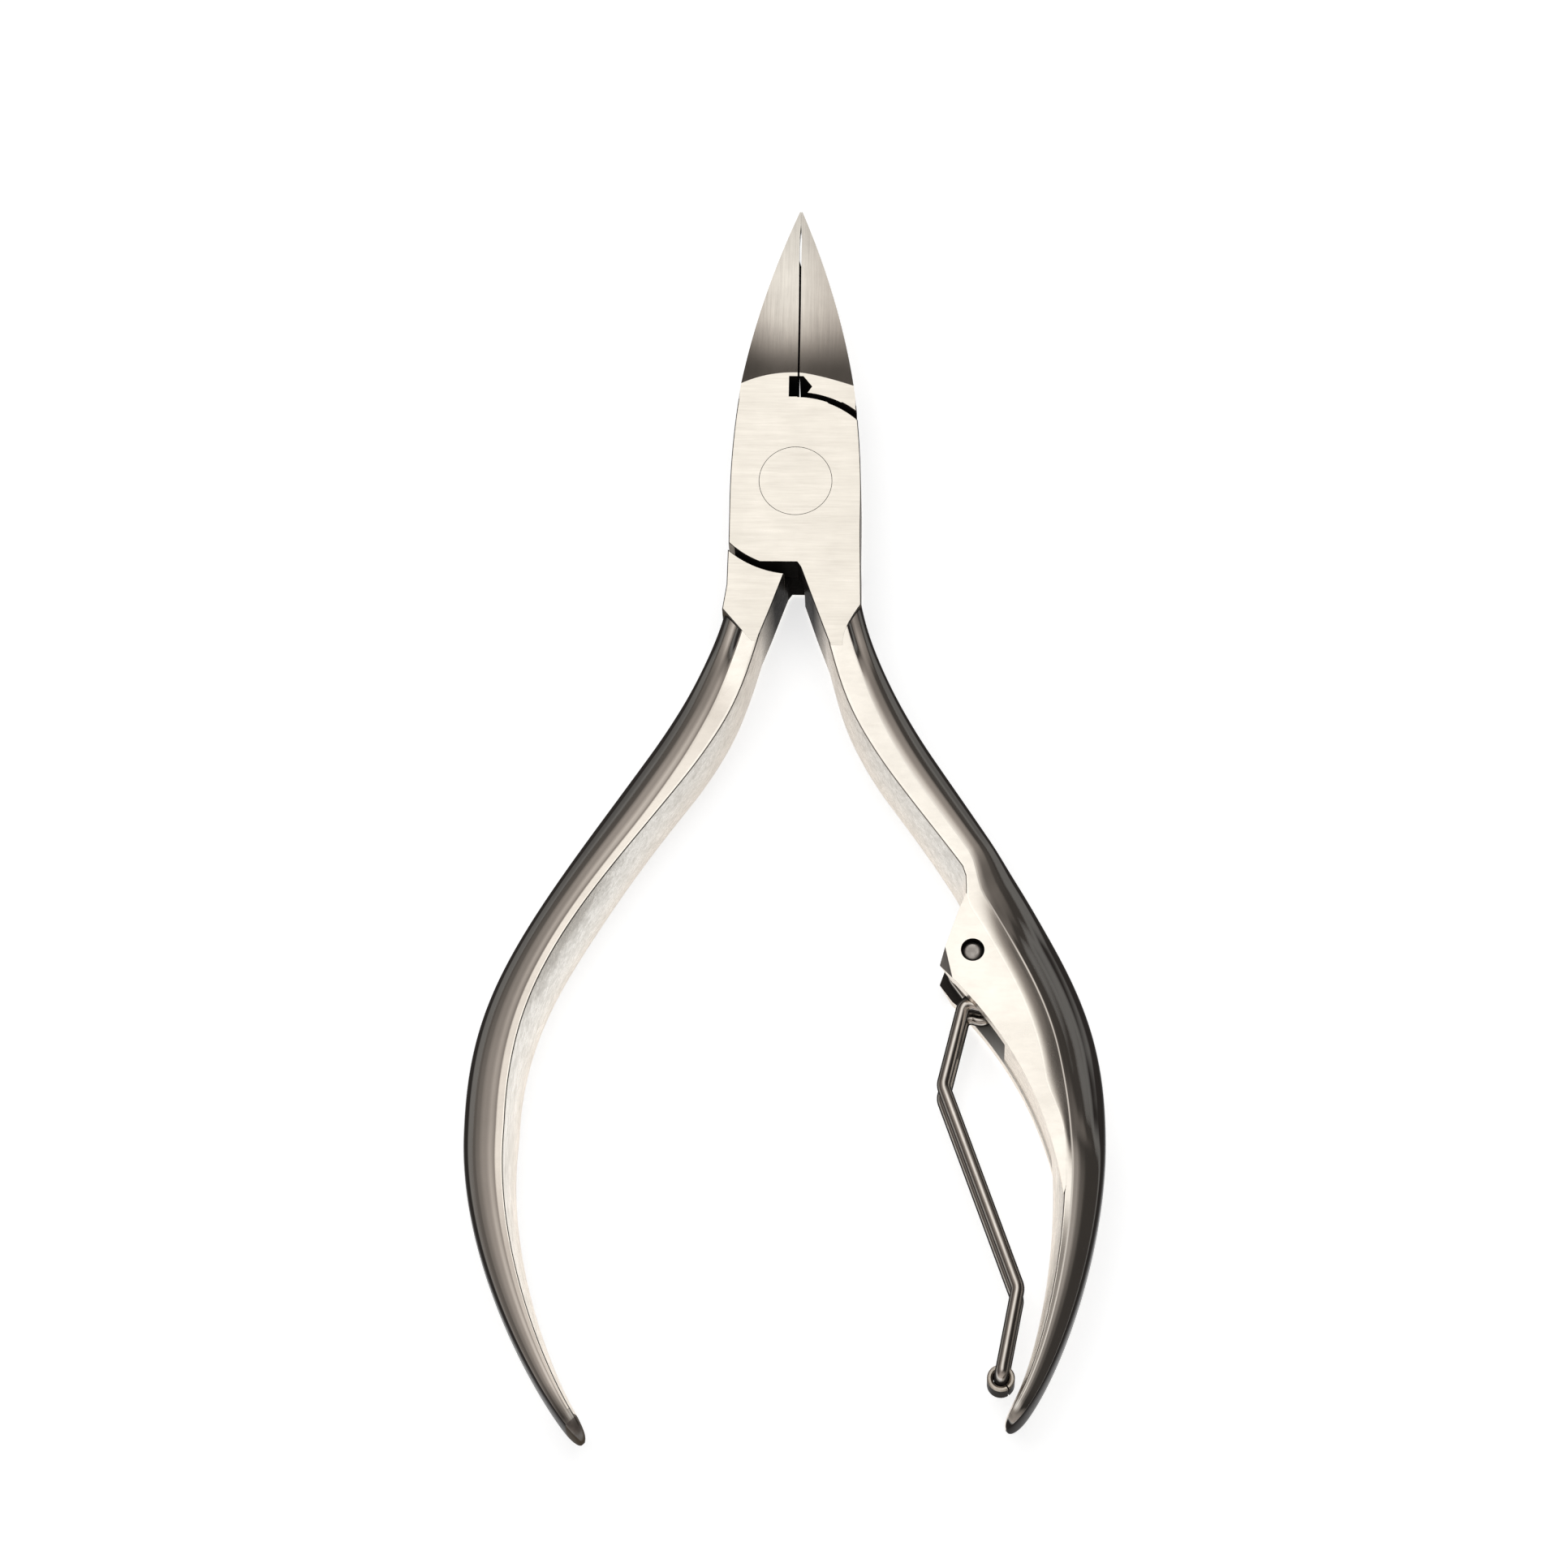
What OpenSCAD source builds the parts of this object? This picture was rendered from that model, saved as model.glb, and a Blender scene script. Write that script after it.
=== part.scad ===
// Hand nipper with a lap joint and a swinging wire return spring.
// Millimetres, +Z up. It lies on its rear face: Z = 0 is the resting plane,
// the pivot axis is X = Y = 0 and the jaw tips point to +Y.

/* [Joint] */
// Thickness through the joint
thickness = 8.4; // [8.2:0.1:8.8]
// Half width of the joint at the pivot
joint_half_width = 5.85; // [5.7:0.05:6]
// Radius of a lap plate's edge on the jaw side
plate_top_radius = 8.05; // [7.9:0.05:8.15]
// Radius of a lap plate's edge on the handle side
plate_bottom_radius = 8.35; // [8.25:0.05:8.5]
// Gap between a lap plate's edge and the other arm's shoulder
shoulder_gap = 0.5; // [0.4:0.05:0.6]
// Clearance between the two lap plates
lap_clearance = 0.06; // [0.04:0.01:0.1]
// Distance from the pivot to the crotch edge
crotch_distance = 7.7; // [7.5:0.1:7.9]
// Distance from the pivot to the end of the flat boss
boss_length = 12.4; // [12:0.1:12.8]

/* [Rivet] */
// Diameter of the two flush rivet heads
rivet_head_diameter = 6.45; // [6:0.05:6.8]
// Diameter of the rivet shank
rivet_shank_diameter = 4.6; // [4:0.1:5]
// Height of each rivet head
rivet_head_height = 1.9; // [1.6:0.1:2.2]
// Radial running clearance of the rear arm on the rivet
pivot_clearance = 0.04; // [0.03:0.01:0.06]

/* [Jaws] */
// Distance from the pivot to the jaw tips
jaw_length = 27.6; // [26:0.1:29]
// Distance from the pivot to the start of the hollow grind
grind_start = 10.45; // [10.3:0.05:10.8]
// Radius of the hollow grind
grind_radius = 64; // [55:1:80]
// Sideways fall of the grind on each jaw, degrees
grind_fall = 5; // [4:0.5:6]
// Thickness of the jaws at the tip
tip_thickness = 1.8; // [1.6:0.1:2.2]
// Half of the slit between the jaws at its root
slit_root = 0.09; // [0.07:0.01:0.13]
// Half of the slit between the jaws at the tip
slit_tip = 0.05; // [0.04:0.01:0.07]
// Sideways position of the root of the slit
slit_offset = 0.11; // [0.06:0.01:0.16]
// Depth of the rear arm's cutting edge under the chord of the grind
edge_depth = 0.9; // [0.8:0.1:1.1]
// Relief angle behind the rear arm's cutting edge, degrees
edge_relief = 4; // [3:0.5:6]
// Length of the relief notch at the root of the slit
notch_length = 2; // [1.8:0.1:2.2]
// Width of the square notch in the front arm's jaw
notch_square = 0.75; // [0.6:0.05:0.9]
// Depth of the pointed notch in the rear arm's jaw
notch_point = 1.35; // [1.1:0.05:1.5]

/* [Handles] */
// Sideways position of the outermost point of each handle
belly_x = 27.85; // [26.6:0.25:29.1]
// Distance below the pivot of that point
belly_y = 60.4; // [58.9:0.5:61.9]
// Sideways position of the point where the curve turns over
bend_x = 12.8; // [12.5:0.1:13.1]
// Distance below the pivot of that point
bend_y = 25.75; // [25.45:0.1:26.05]
// Slant of the handle at that point, degrees
bend_slant = 33.6; // [32.8:0.2:34.4]
// Sideways position of the left handle's end
left_end_x = 17.1; // [16.5:0.1:17.7]
// Distance below the pivot of the left handle's end
left_end_y = 87.4; // [86.5:0.1:88]
// Sideways position of the right handle's end
right_end_x = 19.7; // [19.5:0.1:20.3]
// Distance below the pivot of the right handle's end
right_end_y = 85.9; // [85.4:0.1:86.6]
// Width of a handle where it leaves the boss
root_width = 3.8; // [3.6:0.1:4]
// Width of a handle at its neck
neck_width = 4.4; // [4.2:0.1:4.6]
// Width of a handle at its waist
waist_width = 3.4; // [3.2:0.1:3.5]
// Width of a handle at its belly
belly_width = 3.75; // [3.5:0.05:3.95]
// Width of a handle at its end
end_width = 1; // [0.9:0.05:1.1]
// Thickness of a handle at its end
end_thickness = 5.2; // [4.8:0.1:5.8]
// Width of the rounded outer side in plan
round_width = 2.9; // [2.7:0.1:3.1]
// Crown of the inner wall at the neck
neck_crown = 0.8; // [0.6:0.05:0.9]
// Crown of the inner wall at the waist
waist_crown = 1.6; // [1.3:0.05:1.7]
// Crown of the inner wall at the belly
belly_crown = 1.05; // [0.9:0.05:1.15]
// Step from the joint's flat faces down to the handles
handle_step = 0.06; // [0.04:0.01:0.1]

/* [Spring seat] */
// Sideways position of the spring pin
pin_x = 16.15; // [16.1:0.05:16.3]
// Distance below the pivot of the spring pin
pin_y = 43.7; // [43.55:0.05:43.85]
// Diameter of the spring pin
pin_diameter = 2; // [1.8:0.1:2.2]
// Depth of the pin ends below the ears
pin_recess = 0.35; // [0.2:0.05:0.5]
// Thickness of each ear
ear_thickness = 1.3; // [1.1:0.05:1.35]
// Reach of the ears beyond the pin
ear_reach = 2.85; // [2.7:0.05:3]
// Bevel of the ears' corners, degrees
ear_bevel = 30; // [24:1:36]
// Clearance round the wire eyes in the handle
pocket_clearance = 0.3; // [0.2:0.05:0.4]

/* [Spring] */
// Diameter of the spring wire
wire_diameter = 1.2; // [1.1:0.05:1.25]
// Distance between the two legs of the spring
leg_spacing = 4.2; // [4.1:0.05:4.3]
// Clearance of the wire eyes round the pin
eye_clearance = 0.09; // [0.06:0.01:0.1]
// Length of the straight tails of the wire eyes
tail_length = 1.6; // [1.3:0.1:1.8]
// Distance below the pin of the heel of the spring
heel_drop = 4.75; // [4.6:0.05:5]
// Sideways position of the knee of the spring
knee_x = 15.5; // [15.3:0.05:15.7]
// Distance below the pivot of the outer corner of the spring
elbow_y = 55.45; // [54.45:0.2:56.45]
// Sideways position of that corner
elbow_x = 13.7; // [13.2:0.1:14.2]
// Sideways position of the lower bend of the spring
ankle_x = 20.3; // [19.8:0.1:20.4]
// Distance below the pivot of the lower bend
ankle_y = 73.45; // [72.85:0.1:74.05]
// Sideways position of the roller
roller_x = 18.9; // [18.6:0.1:19]
// Distance below the pivot of the roller
roller_y = 81.2; // [80.7:0.1:81.5]
// Bend radius where the wire enters the roller
bar_bend = 0.8; // [0.75:0.05:0.85]

/* [Roller] */
// Outer diameter of the roller
roller_diameter = 2.4; // [2.2:0.05:2.45]
// Length of the roller
roller_length = 2.4; // [2.2:0.05:2.45]
// Radial running clearance of the roller on the wire
roller_clearance = 0.08; // [0.06:0.01:0.1]
// Width of the flare in the roller's mouths
roller_flare = 0.22; // [0.15:0.01:0.25]
// Width of the seam in the roller
seam_width = 0.12; // [0.08:0.01:0.16]

/* [Hidden] */
$fn = 72;
half = thickness / 2;
steel = [0.78, 0.77, 0.75];
bright = [0.86, 0.86, 0.85];
dark = [0.62, 0.60, 0.57];

// The sides of the jaws are arcs that meet at the tip and run square to the boss.
arch_start = -2;
tip_half = 0.12;
arch_fall = joint_half_width - tip_half;
arch_radius = (pow(jaw_length - arch_start, 2) + pow(arch_fall, 2)) / (2 * arch_fall);
boss_side = joint_half_width + 0.1;
boss_corner = joint_half_width + 0.45;

// The hollow grind is a cylinder through the ridge and the tip.
tip_top = half + tip_thickness / 2;
chord = [jaw_length - grind_start, tip_top - thickness];
chord_length = norm(chord);
grind_rise = sqrt(pow(grind_radius, 2) - pow(chord_length / 2, 2));
grind_y = grind_start + chord[0] / 2 - grind_rise * chord[1] / chord_length;
grind_z = thickness + chord[1] / 2 + grind_rise * chord[0] / chord_length;
grind_slope = atan2(chord[1], chord[0]);

// The handles follow three cubic curves from inside the boss to the end.
root_point = [joint_half_width - 0.1, -9.5];
root_slant = 6;
end_slant_left = -47.6;
end_slant_right = -52.9;
handle_height = thickness - 2 * handle_step;
steps_per_curve = 13;

// The wire runs from the eye on the pin over heel, knee, elbow and ankle to the roller.
wire_radius = wire_diameter / 2;
eye_radius = pin_diameter / 2 + eye_clearance + wire_radius;
eye_end = 217;
pin_at = [pin_x, -pin_y];
heel_at = [pin_x + eye_radius, -pin_y - heel_drop];
knee_at = [knee_x, -pin_y - heel_drop + 0.64];
elbow_at = [elbow_x, -elbow_y];
ankle_at = [ankle_x, -ankle_y];
roller_at = [roller_x, -roller_y];
leg_front = half + leg_spacing / 2;
leg_rear = half - leg_spacing / 2;
roller_bore = wire_diameter + 2 * roller_clearance;

function slant(a) = [sin(a), -cos(a)];
function cubic(p, t) = pow(1 - t, 3) * p[0] + 3 * pow(1 - t, 2) * t * p[1]
    + 3 * (1 - t) * t * t * p[2] + pow(t, 3) * p[3];
function cubic_dir(p, t) = pow(1 - t, 2) * (p[1] - p[0]) + 2 * (1 - t) * t * (p[2] - p[1])
    + t * t * (p[3] - p[2]);
function unit(v) = v / norm(v);
function ease(f) = (1 - cos(180 * f)) / 2;
function blend(a, b, f) = a + (b - a) * max(0, min(1, f));

// The three curves of a handle, given at the right side.
function handle_curves(end, end_slant, belly_pull, end_pull) = [
    [root_point, root_point + 5 * slant(root_slant),
        [bend_x, -bend_y] - 6.8 * slant(bend_slant), [bend_x, -bend_y]],
    [[bend_x, -bend_y], [bend_x, -bend_y] + 21.6 * slant(bend_slant),
        [belly_x, 11.85 - belly_y], [belly_x, -belly_y]],
    [[belly_x, -belly_y], [belly_x, -belly_y - belly_pull],
        end - end_pull * slant(end_slant), end]
];
left_curves = handle_curves([left_end_x, -left_end_y], end_slant_left, 11.8, 4.1);
right_curves = handle_curves([right_end_x, -right_end_y], end_slant_right, 10.5, 4.2);

// A point of the outer side and the direction to the inner wall, at 0 to 3.
function curve_of(s) = min(2, floor(s));
function outer_at(c, s) = cubic(c[curve_of(s)], s - curve_of(s));
function inward_at(c, s) = let (d = unit(cubic_dir(c[curve_of(s)], s - curve_of(s)))) [d[1], -d[0]];

// Width, crown and height of a handle at a distance below the pivot.
neck_y = 21;
waist_y = 41;
full_y = 55;
taper_y = 60;
function taper(y, end_y) = max(0, min(1, (y - taper_y) / (end_y - taper_y)));
function width_at(y, end_y) =
    y < neck_y ? blend(root_width, neck_width, ease(max(0, (y - boss_length) / (neck_y - boss_length)))) :
    y < waist_y ? blend(neck_width, waist_width, ease((y - neck_y) / (waist_y - neck_y))) :
    y < full_y ? blend(waist_width, belly_width, ease((y - waist_y) / (full_y - waist_y))) :
    blend(belly_width, end_width, pow(taper(y, end_y), 1.25));
crown_y = 26;
function crown_at(y, end_y) =
    y < crown_y ? blend(0.12, neck_crown, ease(max(0, (y - boss_length) / (crown_y - boss_length)))) :
    y < waist_y ? blend(neck_crown, waist_crown, ease((y - crown_y) / (waist_y - crown_y))) :
    y < taper_y ? blend(waist_crown, belly_crown, ease((y - waist_y) / (taper_y - waist_y))) :
    blend(belly_crown, 0.3 * belly_crown, taper(y, end_y));
function height_at(y, end_y) = blend(handle_height, end_thickness, pow(taper(y, end_y), 1.3));
function round_at(w) = min(round_width, 0.74 * w);

// A section is a full, rounded outer side, two flat bands and a crowned inner wall.
function section(w, crown, h) = let (a = round_at(w)) concat(
    [for (v = [1:-0.5:-1]) [w + crown * (1 - v * v), v * h / 2]],
    [for (i = [0:10]) let (f = 18 * i - 90) [a * (1 - cos(f)), h / 2 * sign(f) * sqrt(abs(sin(f)))]]);
function ring(c, s, end_y, shrink) = let (
        o = outer_at(c, s), n = inward_at(c, s), y = -o[1],
        w = width_at(y, end_y), q = section(w, crown_at(y, end_y), height_at(y, end_y)))
    [for (p = q) let (u = w / 2 + (p[0] - w / 2) * shrink)
        [o[0] + n[0] * u, o[1] + n[1] * u, half + p[1] * shrink]];

// Skin of a run of closed rings with flat ends.
function skin_faces(rings, sides) = concat(
    [for (i = [0:rings - 2]) for (j = [0:sides - 1]) let (k = (j + 1) % sides)
        [i * sides + j, (i + 1) * sides + k, i * sides + k]],
    [for (i = [0:rings - 2]) for (j = [0:sides - 1]) let (k = (j + 1) % sides)
        [i * sides + j, (i + 1) * sides + j, (i + 1) * sides + k]]);
function cap_first(sides) = [for (j = [1:sides - 2]) [0, j, j + 1]];
function cap_last(rings, sides) = let (b = (rings - 1) * sides)
    [for (j = [1:sides - 2]) [b, b + j + 1, b + j]];

module skin(points, sides) {
    rings = len(points) / sides;
    polyhedron(points, concat(skin_faces(rings, sides), cap_first(sides), cap_last(rings, sides)));
}

// Points and directions of a rounded corner at b.
function turn(v, a) = [v[0] * cos(a) - v[1] * sin(a), v[0] * sin(a) + v[1] * cos(a)];
function corner(a, b, c, r, n) = let (
        d = unit(b - a), e = unit(c - b), side = sign(d[0] * e[1] - d[1] * e[0]), bend = acos(d * e),
        start = b - d * r * tan(bend / 2), middle = start + side * r * [-d[1], d[0]])
    [for (i = [0:n]) let (f = side * bend * i / n) [middle + turn(start - middle, f), turn(d, f)]];
function eye(a) = [pin_at + eye_radius * [cos(a), sin(a)], [sin(a), -cos(a)]];

// One leg in plan, from the free end at the eye to the bend into the roller.
bar_dir = unit(roller_at - ankle_at);
leg_path = concat(
    [[eye(eye_end)[0] - tail_length * eye(eye_end)[1], eye(eye_end)[1]]],
    [for (i = [0:15]) eye(eye_end * (1 - i / 15))],
    corner(eye(0)[0], heel_at, knee_at, 0.9, 5),
    corner(heel_at, knee_at, elbow_at, 0.8, 5),
    corner(knee_at, elbow_at, ankle_at, 1.3, 4),
    corner(elbow_at, ankle_at, roller_at, 1.3, 4),
    [[roller_at - bar_bend * bar_dir, bar_dir]]);

// Centre and two cross directions of every ring of the wire.
function across(d) = [-d[1], d[0], 0];
up = [0, 0, 1];
bar_along = [bar_dir[0], bar_dir[1], 0];
roller_mid = [roller_at[0], roller_at[1], 0];
wire_path = concat(
    [for (q = leg_path) [[q[0][0], q[0][1], leg_front], across(q[1]), up]],
    [for (b = [22.5:22.5:90]) [roller_mid + bar_bend * (sin(b) - 1) * bar_along
        + (leg_front - bar_bend * (1 - cos(b))) * up, across(bar_dir), cos(b) * up + sin(b) * bar_along]],
    [for (b = [90:22.5:157.5]) [roller_mid + bar_bend * (sin(b) - 1) * bar_along
        + (leg_rear + bar_bend * (1 + cos(b))) * up, across(bar_dir), cos(b) * up + sin(b) * bar_along]],
    [for (i = [len(leg_path) - 1:-1:0]) let (q = leg_path[i])
        [[q[0][0], q[0][1], leg_rear], across(q[1]), -up]]);

// Least distance between stretches of the wire that are more than three diameters apart along it.
function spaced(a, b) = let (n = ceil(norm(b - a) / 0.5)) [for (k = [0:n - 1]) a + (b - a) * k / n];
dense_path = [for (i = [0:len(wire_path) - 2]) each spaced(wire_path[i][0], wire_path[i + 1][0])];
function lengths(p, i = 0, sum = 0) = i >= len(p) ? [] :
    concat([sum], lengths(p, i + 1, sum + (i + 1 < len(p) ? norm(p[i + 1] - p[i]) : 0)));
function least_gap(p) = let (run = lengths(p))
    min([for (i = [0:len(p) - 1]) for (j = [i + 1:len(p) - 1])
        if (run[j] - run[i] > 3 * wire_diameter) norm(p[j] - p[i])]);

module handle(c, end_y) {
    stops = [for (i = [0:3 * steps_per_curve - 1]) [i / steps_per_curve, 1]];
    tips = [[2.96, 0.97], [2.98, 0.8], [2.995, 0.5]];
    rings = [for (q = concat(stops, tips)) ring(c, q[0], end_y, q[1])];
    skin([for (r = rings) each r], len(rings[0]));
}

// Plan of both jaws and the joint down to the bosses.
module arch() {
    intersection() {
        translate([joint_half_width - arch_radius, arch_start])
            circle(arch_radius, $fn = 360);
        translate([arch_radius - joint_half_width, arch_start])
            circle(arch_radius, $fn = 360);
        translate([-10, arch_start])
            square([20, 40]);
    }
}

// Plan of the right-hand boss, from the pivot to its slanted end.
module boss() {
    polygon([
        [-0.5, 0.5 + arch_start],
        [joint_half_width, 0.5 + arch_start],
        [joint_half_width, -5],
        [boss_side, -9.9],
        [boss_corner, -boss_length],
        [3.75, -boss_length - 2.9],
        [3.2, -boss_length - 2.9],
        [2.05, 0.2 - boss_length],
        [0.65, -crotch_distance - 0.5],
        [0.3, -crotch_distance],
        [-0.5, -crotch_distance]
    ]);
}

module arm_plan() {
    arch();
    boss();
    mirror([1, 0])
        boss();
}

// Everything on the left of the slit and above the pivot.
module jaw_side(shift) {
    polygon([
        [-10, 0],
        [shift - slit_root, 0],
        [shift - slit_root, 8],
        [-slit_tip, jaw_length],
        [-slit_tip, jaw_length + 5],
        [-10, jaw_length + 5]
    ]);
}

// The round of a lap plate, grown by a gap.
module lap_round(gap) {
    intersection() {
        circle(plate_top_radius + gap);
        translate([-10, 0])
            square([20, 20]);
    }
    intersection() {
        circle(plate_bottom_radius + gap);
        translate([-10, -20])
            square([20, 20.01]);
    }
}

// Plan of one arm through its lap plate: left jaw, plate and right boss.
module plate_plan(shift) {
    intersection() {
        arm_plan();
        union() {
            jaw_side(shift);
            intersection() {
                lap_round(0);
                translate([-10, -crotch_distance])
                    square([20, 30]);
            }
        }
    }
    boss();
}

// Plan of the same arm beside the other arm's lap plate.
module shoulder_plan(shift) {
    difference() {
        plate_plan(shift);
        lap_round(shoulder_gap);
    }
}

// The hollow grind on the upper face of the left jaw.
module grind() {
    translate([0, 0, thickness])
        rotate([0, -grind_fall, 0])
            translate([-15, grind_y, grind_z - thickness])
                rotate([0, 90, 0])
                    cylinder(r = grind_radius, h = 30, $fn = 180);
}

// The relief behind a cutting edge near the upper face of the left jaw.
module relief() {
    intersection() {
        translate([0, grind_start, thickness - edge_depth])
            rotate([grind_slope, 0, 0])
                translate([0, -8, 0])
                    rotate([-90, 0, 0])
                        linear_extrude(40)
                            polygon([[-slit_tip, 0], [0.5, 0], [0.5, 20], [-20 * tan(edge_relief), 20]]);
        translate([-10, plate_top_radius + 0.05, -5])
            cube([11, 40, thickness + 10]);
    }
}

module notch(square_notch) {
    low = plate_top_radius + 0.05;
    translate([0, 0, -1])
        linear_extrude(thickness + 2)
            if (square_notch)
                translate([-notch_square, low])
                    square([notch_square + 2 * slit_offset, notch_length]);
            else
                polygon([
                    [0.1, low],
                    [-0.75, low + 0.1],
                    [-notch_point, low + notch_length / 2],
                    [-0.55, low + notch_length],
                    [0.1, low + notch_length]
                ]);
}

// Jaw, lap plate and boss of one arm. The plate is in the upper half,
// the jaw on the left and the boss on the right.
module arm_head(is_front) {
    shift = is_front ? slit_offset : -slit_offset;
    difference() {
        union() {
            linear_extrude(thickness)
                shoulder_plan(shift);
            translate([0, 0, half + lap_clearance / 2])
                linear_extrude(half - lap_clearance / 2)
                    plate_plan(shift);
        }
        grind();
        translate([0, 0, thickness])
            mirror([0, 0, 1])
                grind();
        if (!is_front)
            translate([0, 0, thickness])
                mirror([0, 0, 1])
                    relief();
        notch(is_front);
    }
}

// Plan of an ear: round the pin, up to the neck of the handle and down to its belly.
module ear_plan() {
    inner = pin_x - ear_reach;
    lower_curve = [[inner + 2.35, -pin_y - 3.88], [pin_x + 3.2, -pin_y - 8],
        [belly_x - 5.15, 3.2 - belly_y], [belly_x - 4, -belly_y - 5.1]];
    lower = [for (i = [0:8]) cubic(lower_curve, i / 8)];
    back = [for (i = [0:18]) let (s = 2.15 - 0.85 * i / 18, o = outer_at(right_curves, s),
            n = inward_at(right_curves, s), u = round_at(width_at(-o[1], right_end_y)) + 0.12) o + n * u];
    polygon(concat([
        [inner + 2.35, 5.46 - pin_y],
        [inner + 1.66, 3.81 - pin_y],
        [inner, -1.08 - pin_y],
        [inner + 1.12, -2.6 - pin_y],
        [inner + 1.43, -2.86 - pin_y]
    ], lower, back));
}

// A slanted cut at the front face across the free corner of an ear.
module ear_cut() {
    translate([pin_x - ear_reach + 0.45, 0.3 - pin_y, thickness - handle_step])
        rotate([0, 0, -77])
            rotate([-ear_bevel, 0, 0])
                translate([-2, -4, -4])
                    cube([8, 4, 8]);
}

module ears() {
    difference() {
        for (z = [handle_step, thickness - handle_step - ear_thickness])
            translate([0, 0, z])
                linear_extrude(ear_thickness)
                    ear_plan();
        translate([pin_x, -pin_y, -1])
            cylinder(d = pin_diameter, h = thickness + 2);
        ear_cut();
        translate([0, 0, thickness])
            mirror([0, 0, 1])
                ear_cut();
    }
}

// The round pocket between the ears for the eyes of the wire.
module spring_pocket() {
    low = handle_step + ear_thickness;
    translate([pin_x, -pin_y, low])
        cylinder(r = eye_radius + wire_radius + pocket_clearance, h = thickness - 2 * low);
}

module front_arm() {
    color(steel)
        union() {
            difference() {
                arm_head(true);
                translate([0, 0, -1])
                    cylinder(d = rivet_shank_diameter, h = thickness + 2);
                translate([0, 0, thickness - rivet_head_height])
                    cylinder(d = rivet_head_diameter, h = rivet_head_height + 1);
            }
            difference() {
                handle(right_curves, right_end_y);
                spring_pocket();
            }
            ears();
        }
}

module rear_arm() {
    color(steel)
        union() {
            difference() {
                translate([0, 0, thickness])
                    rotate([0, 180, 0])
                        arm_head(false);
                translate([0, 0, -1])
                    cylinder(d = rivet_shank_diameter + 2 * pivot_clearance, h = thickness + 2);
                translate([0, 0, -1])
                    cylinder(d = rivet_head_diameter + 2 * pivot_clearance, h = rivet_head_height + pivot_clearance + 1);
            }
            mirror([1, 0, 0])
                handle(left_curves, left_end_y);
        }
}

module pivot_rivet() {
    color(bright)
        rotate_extrude()
            polygon([
                [0, 0],
                [rivet_head_diameter / 2, 0],
                [rivet_head_diameter / 2, rivet_head_height],
                [rivet_shank_diameter / 2, rivet_head_height],
                [rivet_shank_diameter / 2, thickness - rivet_head_height],
                [rivet_head_diameter / 2, thickness - rivet_head_height],
                [rivet_head_diameter / 2, thickness],
                [0, thickness]
            ]);
}

module spring_pin() {
    pin_length = thickness - 2 * pin_recess;
    color(bright)
        translate([pin_x, -pin_y, half])
            intersection() {
                cylinder(d = pin_diameter, h = pin_length, center = true);
                sphere(d = pin_length);
            }
}

module wire_spring() {
    sides = 6;
    points = [for (q = wire_path) for (j = [0:sides - 1])
        q[0] + wire_radius * (cos(360 * j / sides) * q[1] + sin(360 * j / sides) * q[2])];
    echo(str("least gap of the wire to itself, mm: ", least_gap(dense_path) - wire_diameter));
    color(bright)
        skin(points, sides);
}

module spring_roller() {
    color(dark)
        translate([roller_x, -roller_y, half - roller_length / 2])
            difference() {
                rotate_extrude()
                    polygon([
                        [roller_bore / 2, roller_flare],
                        [roller_bore / 2 + roller_flare, 0],
                        [roller_diameter / 2, 0],
                        [roller_diameter / 2, roller_length],
                        [roller_bore / 2 + roller_flare, roller_length],
                        [roller_bore / 2, roller_length - roller_flare]
                    ]);
                rotate([0, 0, -55])
                    translate([0, -seam_width / 2, -1])
                        cube([roller_diameter, seam_width, roller_length + 2]);
            }
}

front_arm();
rear_arm();
pivot_rivet();
spring_pin();
wire_spring();
spring_roller();
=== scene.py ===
import math

import bmesh
import bpy
from mathutils import Matrix, Vector


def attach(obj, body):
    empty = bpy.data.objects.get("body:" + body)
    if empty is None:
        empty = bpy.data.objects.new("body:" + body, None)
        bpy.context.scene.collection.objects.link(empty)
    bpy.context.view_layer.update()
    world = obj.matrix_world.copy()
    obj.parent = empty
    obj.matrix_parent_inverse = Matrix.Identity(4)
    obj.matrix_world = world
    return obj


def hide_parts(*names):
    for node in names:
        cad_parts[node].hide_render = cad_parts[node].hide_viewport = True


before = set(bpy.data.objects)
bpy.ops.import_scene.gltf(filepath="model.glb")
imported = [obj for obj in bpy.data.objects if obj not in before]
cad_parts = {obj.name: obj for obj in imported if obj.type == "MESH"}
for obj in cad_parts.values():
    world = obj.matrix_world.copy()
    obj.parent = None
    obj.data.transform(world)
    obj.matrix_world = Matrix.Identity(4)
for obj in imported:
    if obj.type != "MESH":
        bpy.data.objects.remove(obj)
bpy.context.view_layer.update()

# Sizes in millimetres, in the frame of the solids. First those of the joint and the jaws.
THICKNESS = 8.4
HALF = THICKNESS / 2
LAP_GAP = 0.03
HALF_WIDTH = 5.85
PLATE_TOP = 8.05
PLATE_BOTTOM = 8.35
SHOULDER_GAP = 0.5
CROTCH = 7.7
BOSS_LENGTH = 12.4
JAW_LENGTH = 27.6
ARCH_START = -2.0
TIP_HALF = 0.12
GRIND_START = 10.45
GRIND_RADIUS = 64.0
GRIND_DEEPER = 0.51
FRONT_BULGE = 2.3
REAR_BULGE = 1.4
TIP_THICKNESS = 1.8
SLIT_ROOT = 0.09
SLIT_TIP = 0.006
SLIT_OPEN = 0.1
SLIT_OFFSET = 0.11
NOTCH_LENGTH = 2.0
NOTCH_SQUARE = 0.75
NOTCH_POINT = 1.35
NOTCH_PAST = 0.4
FOOT_OVERLAP = 0.4

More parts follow.
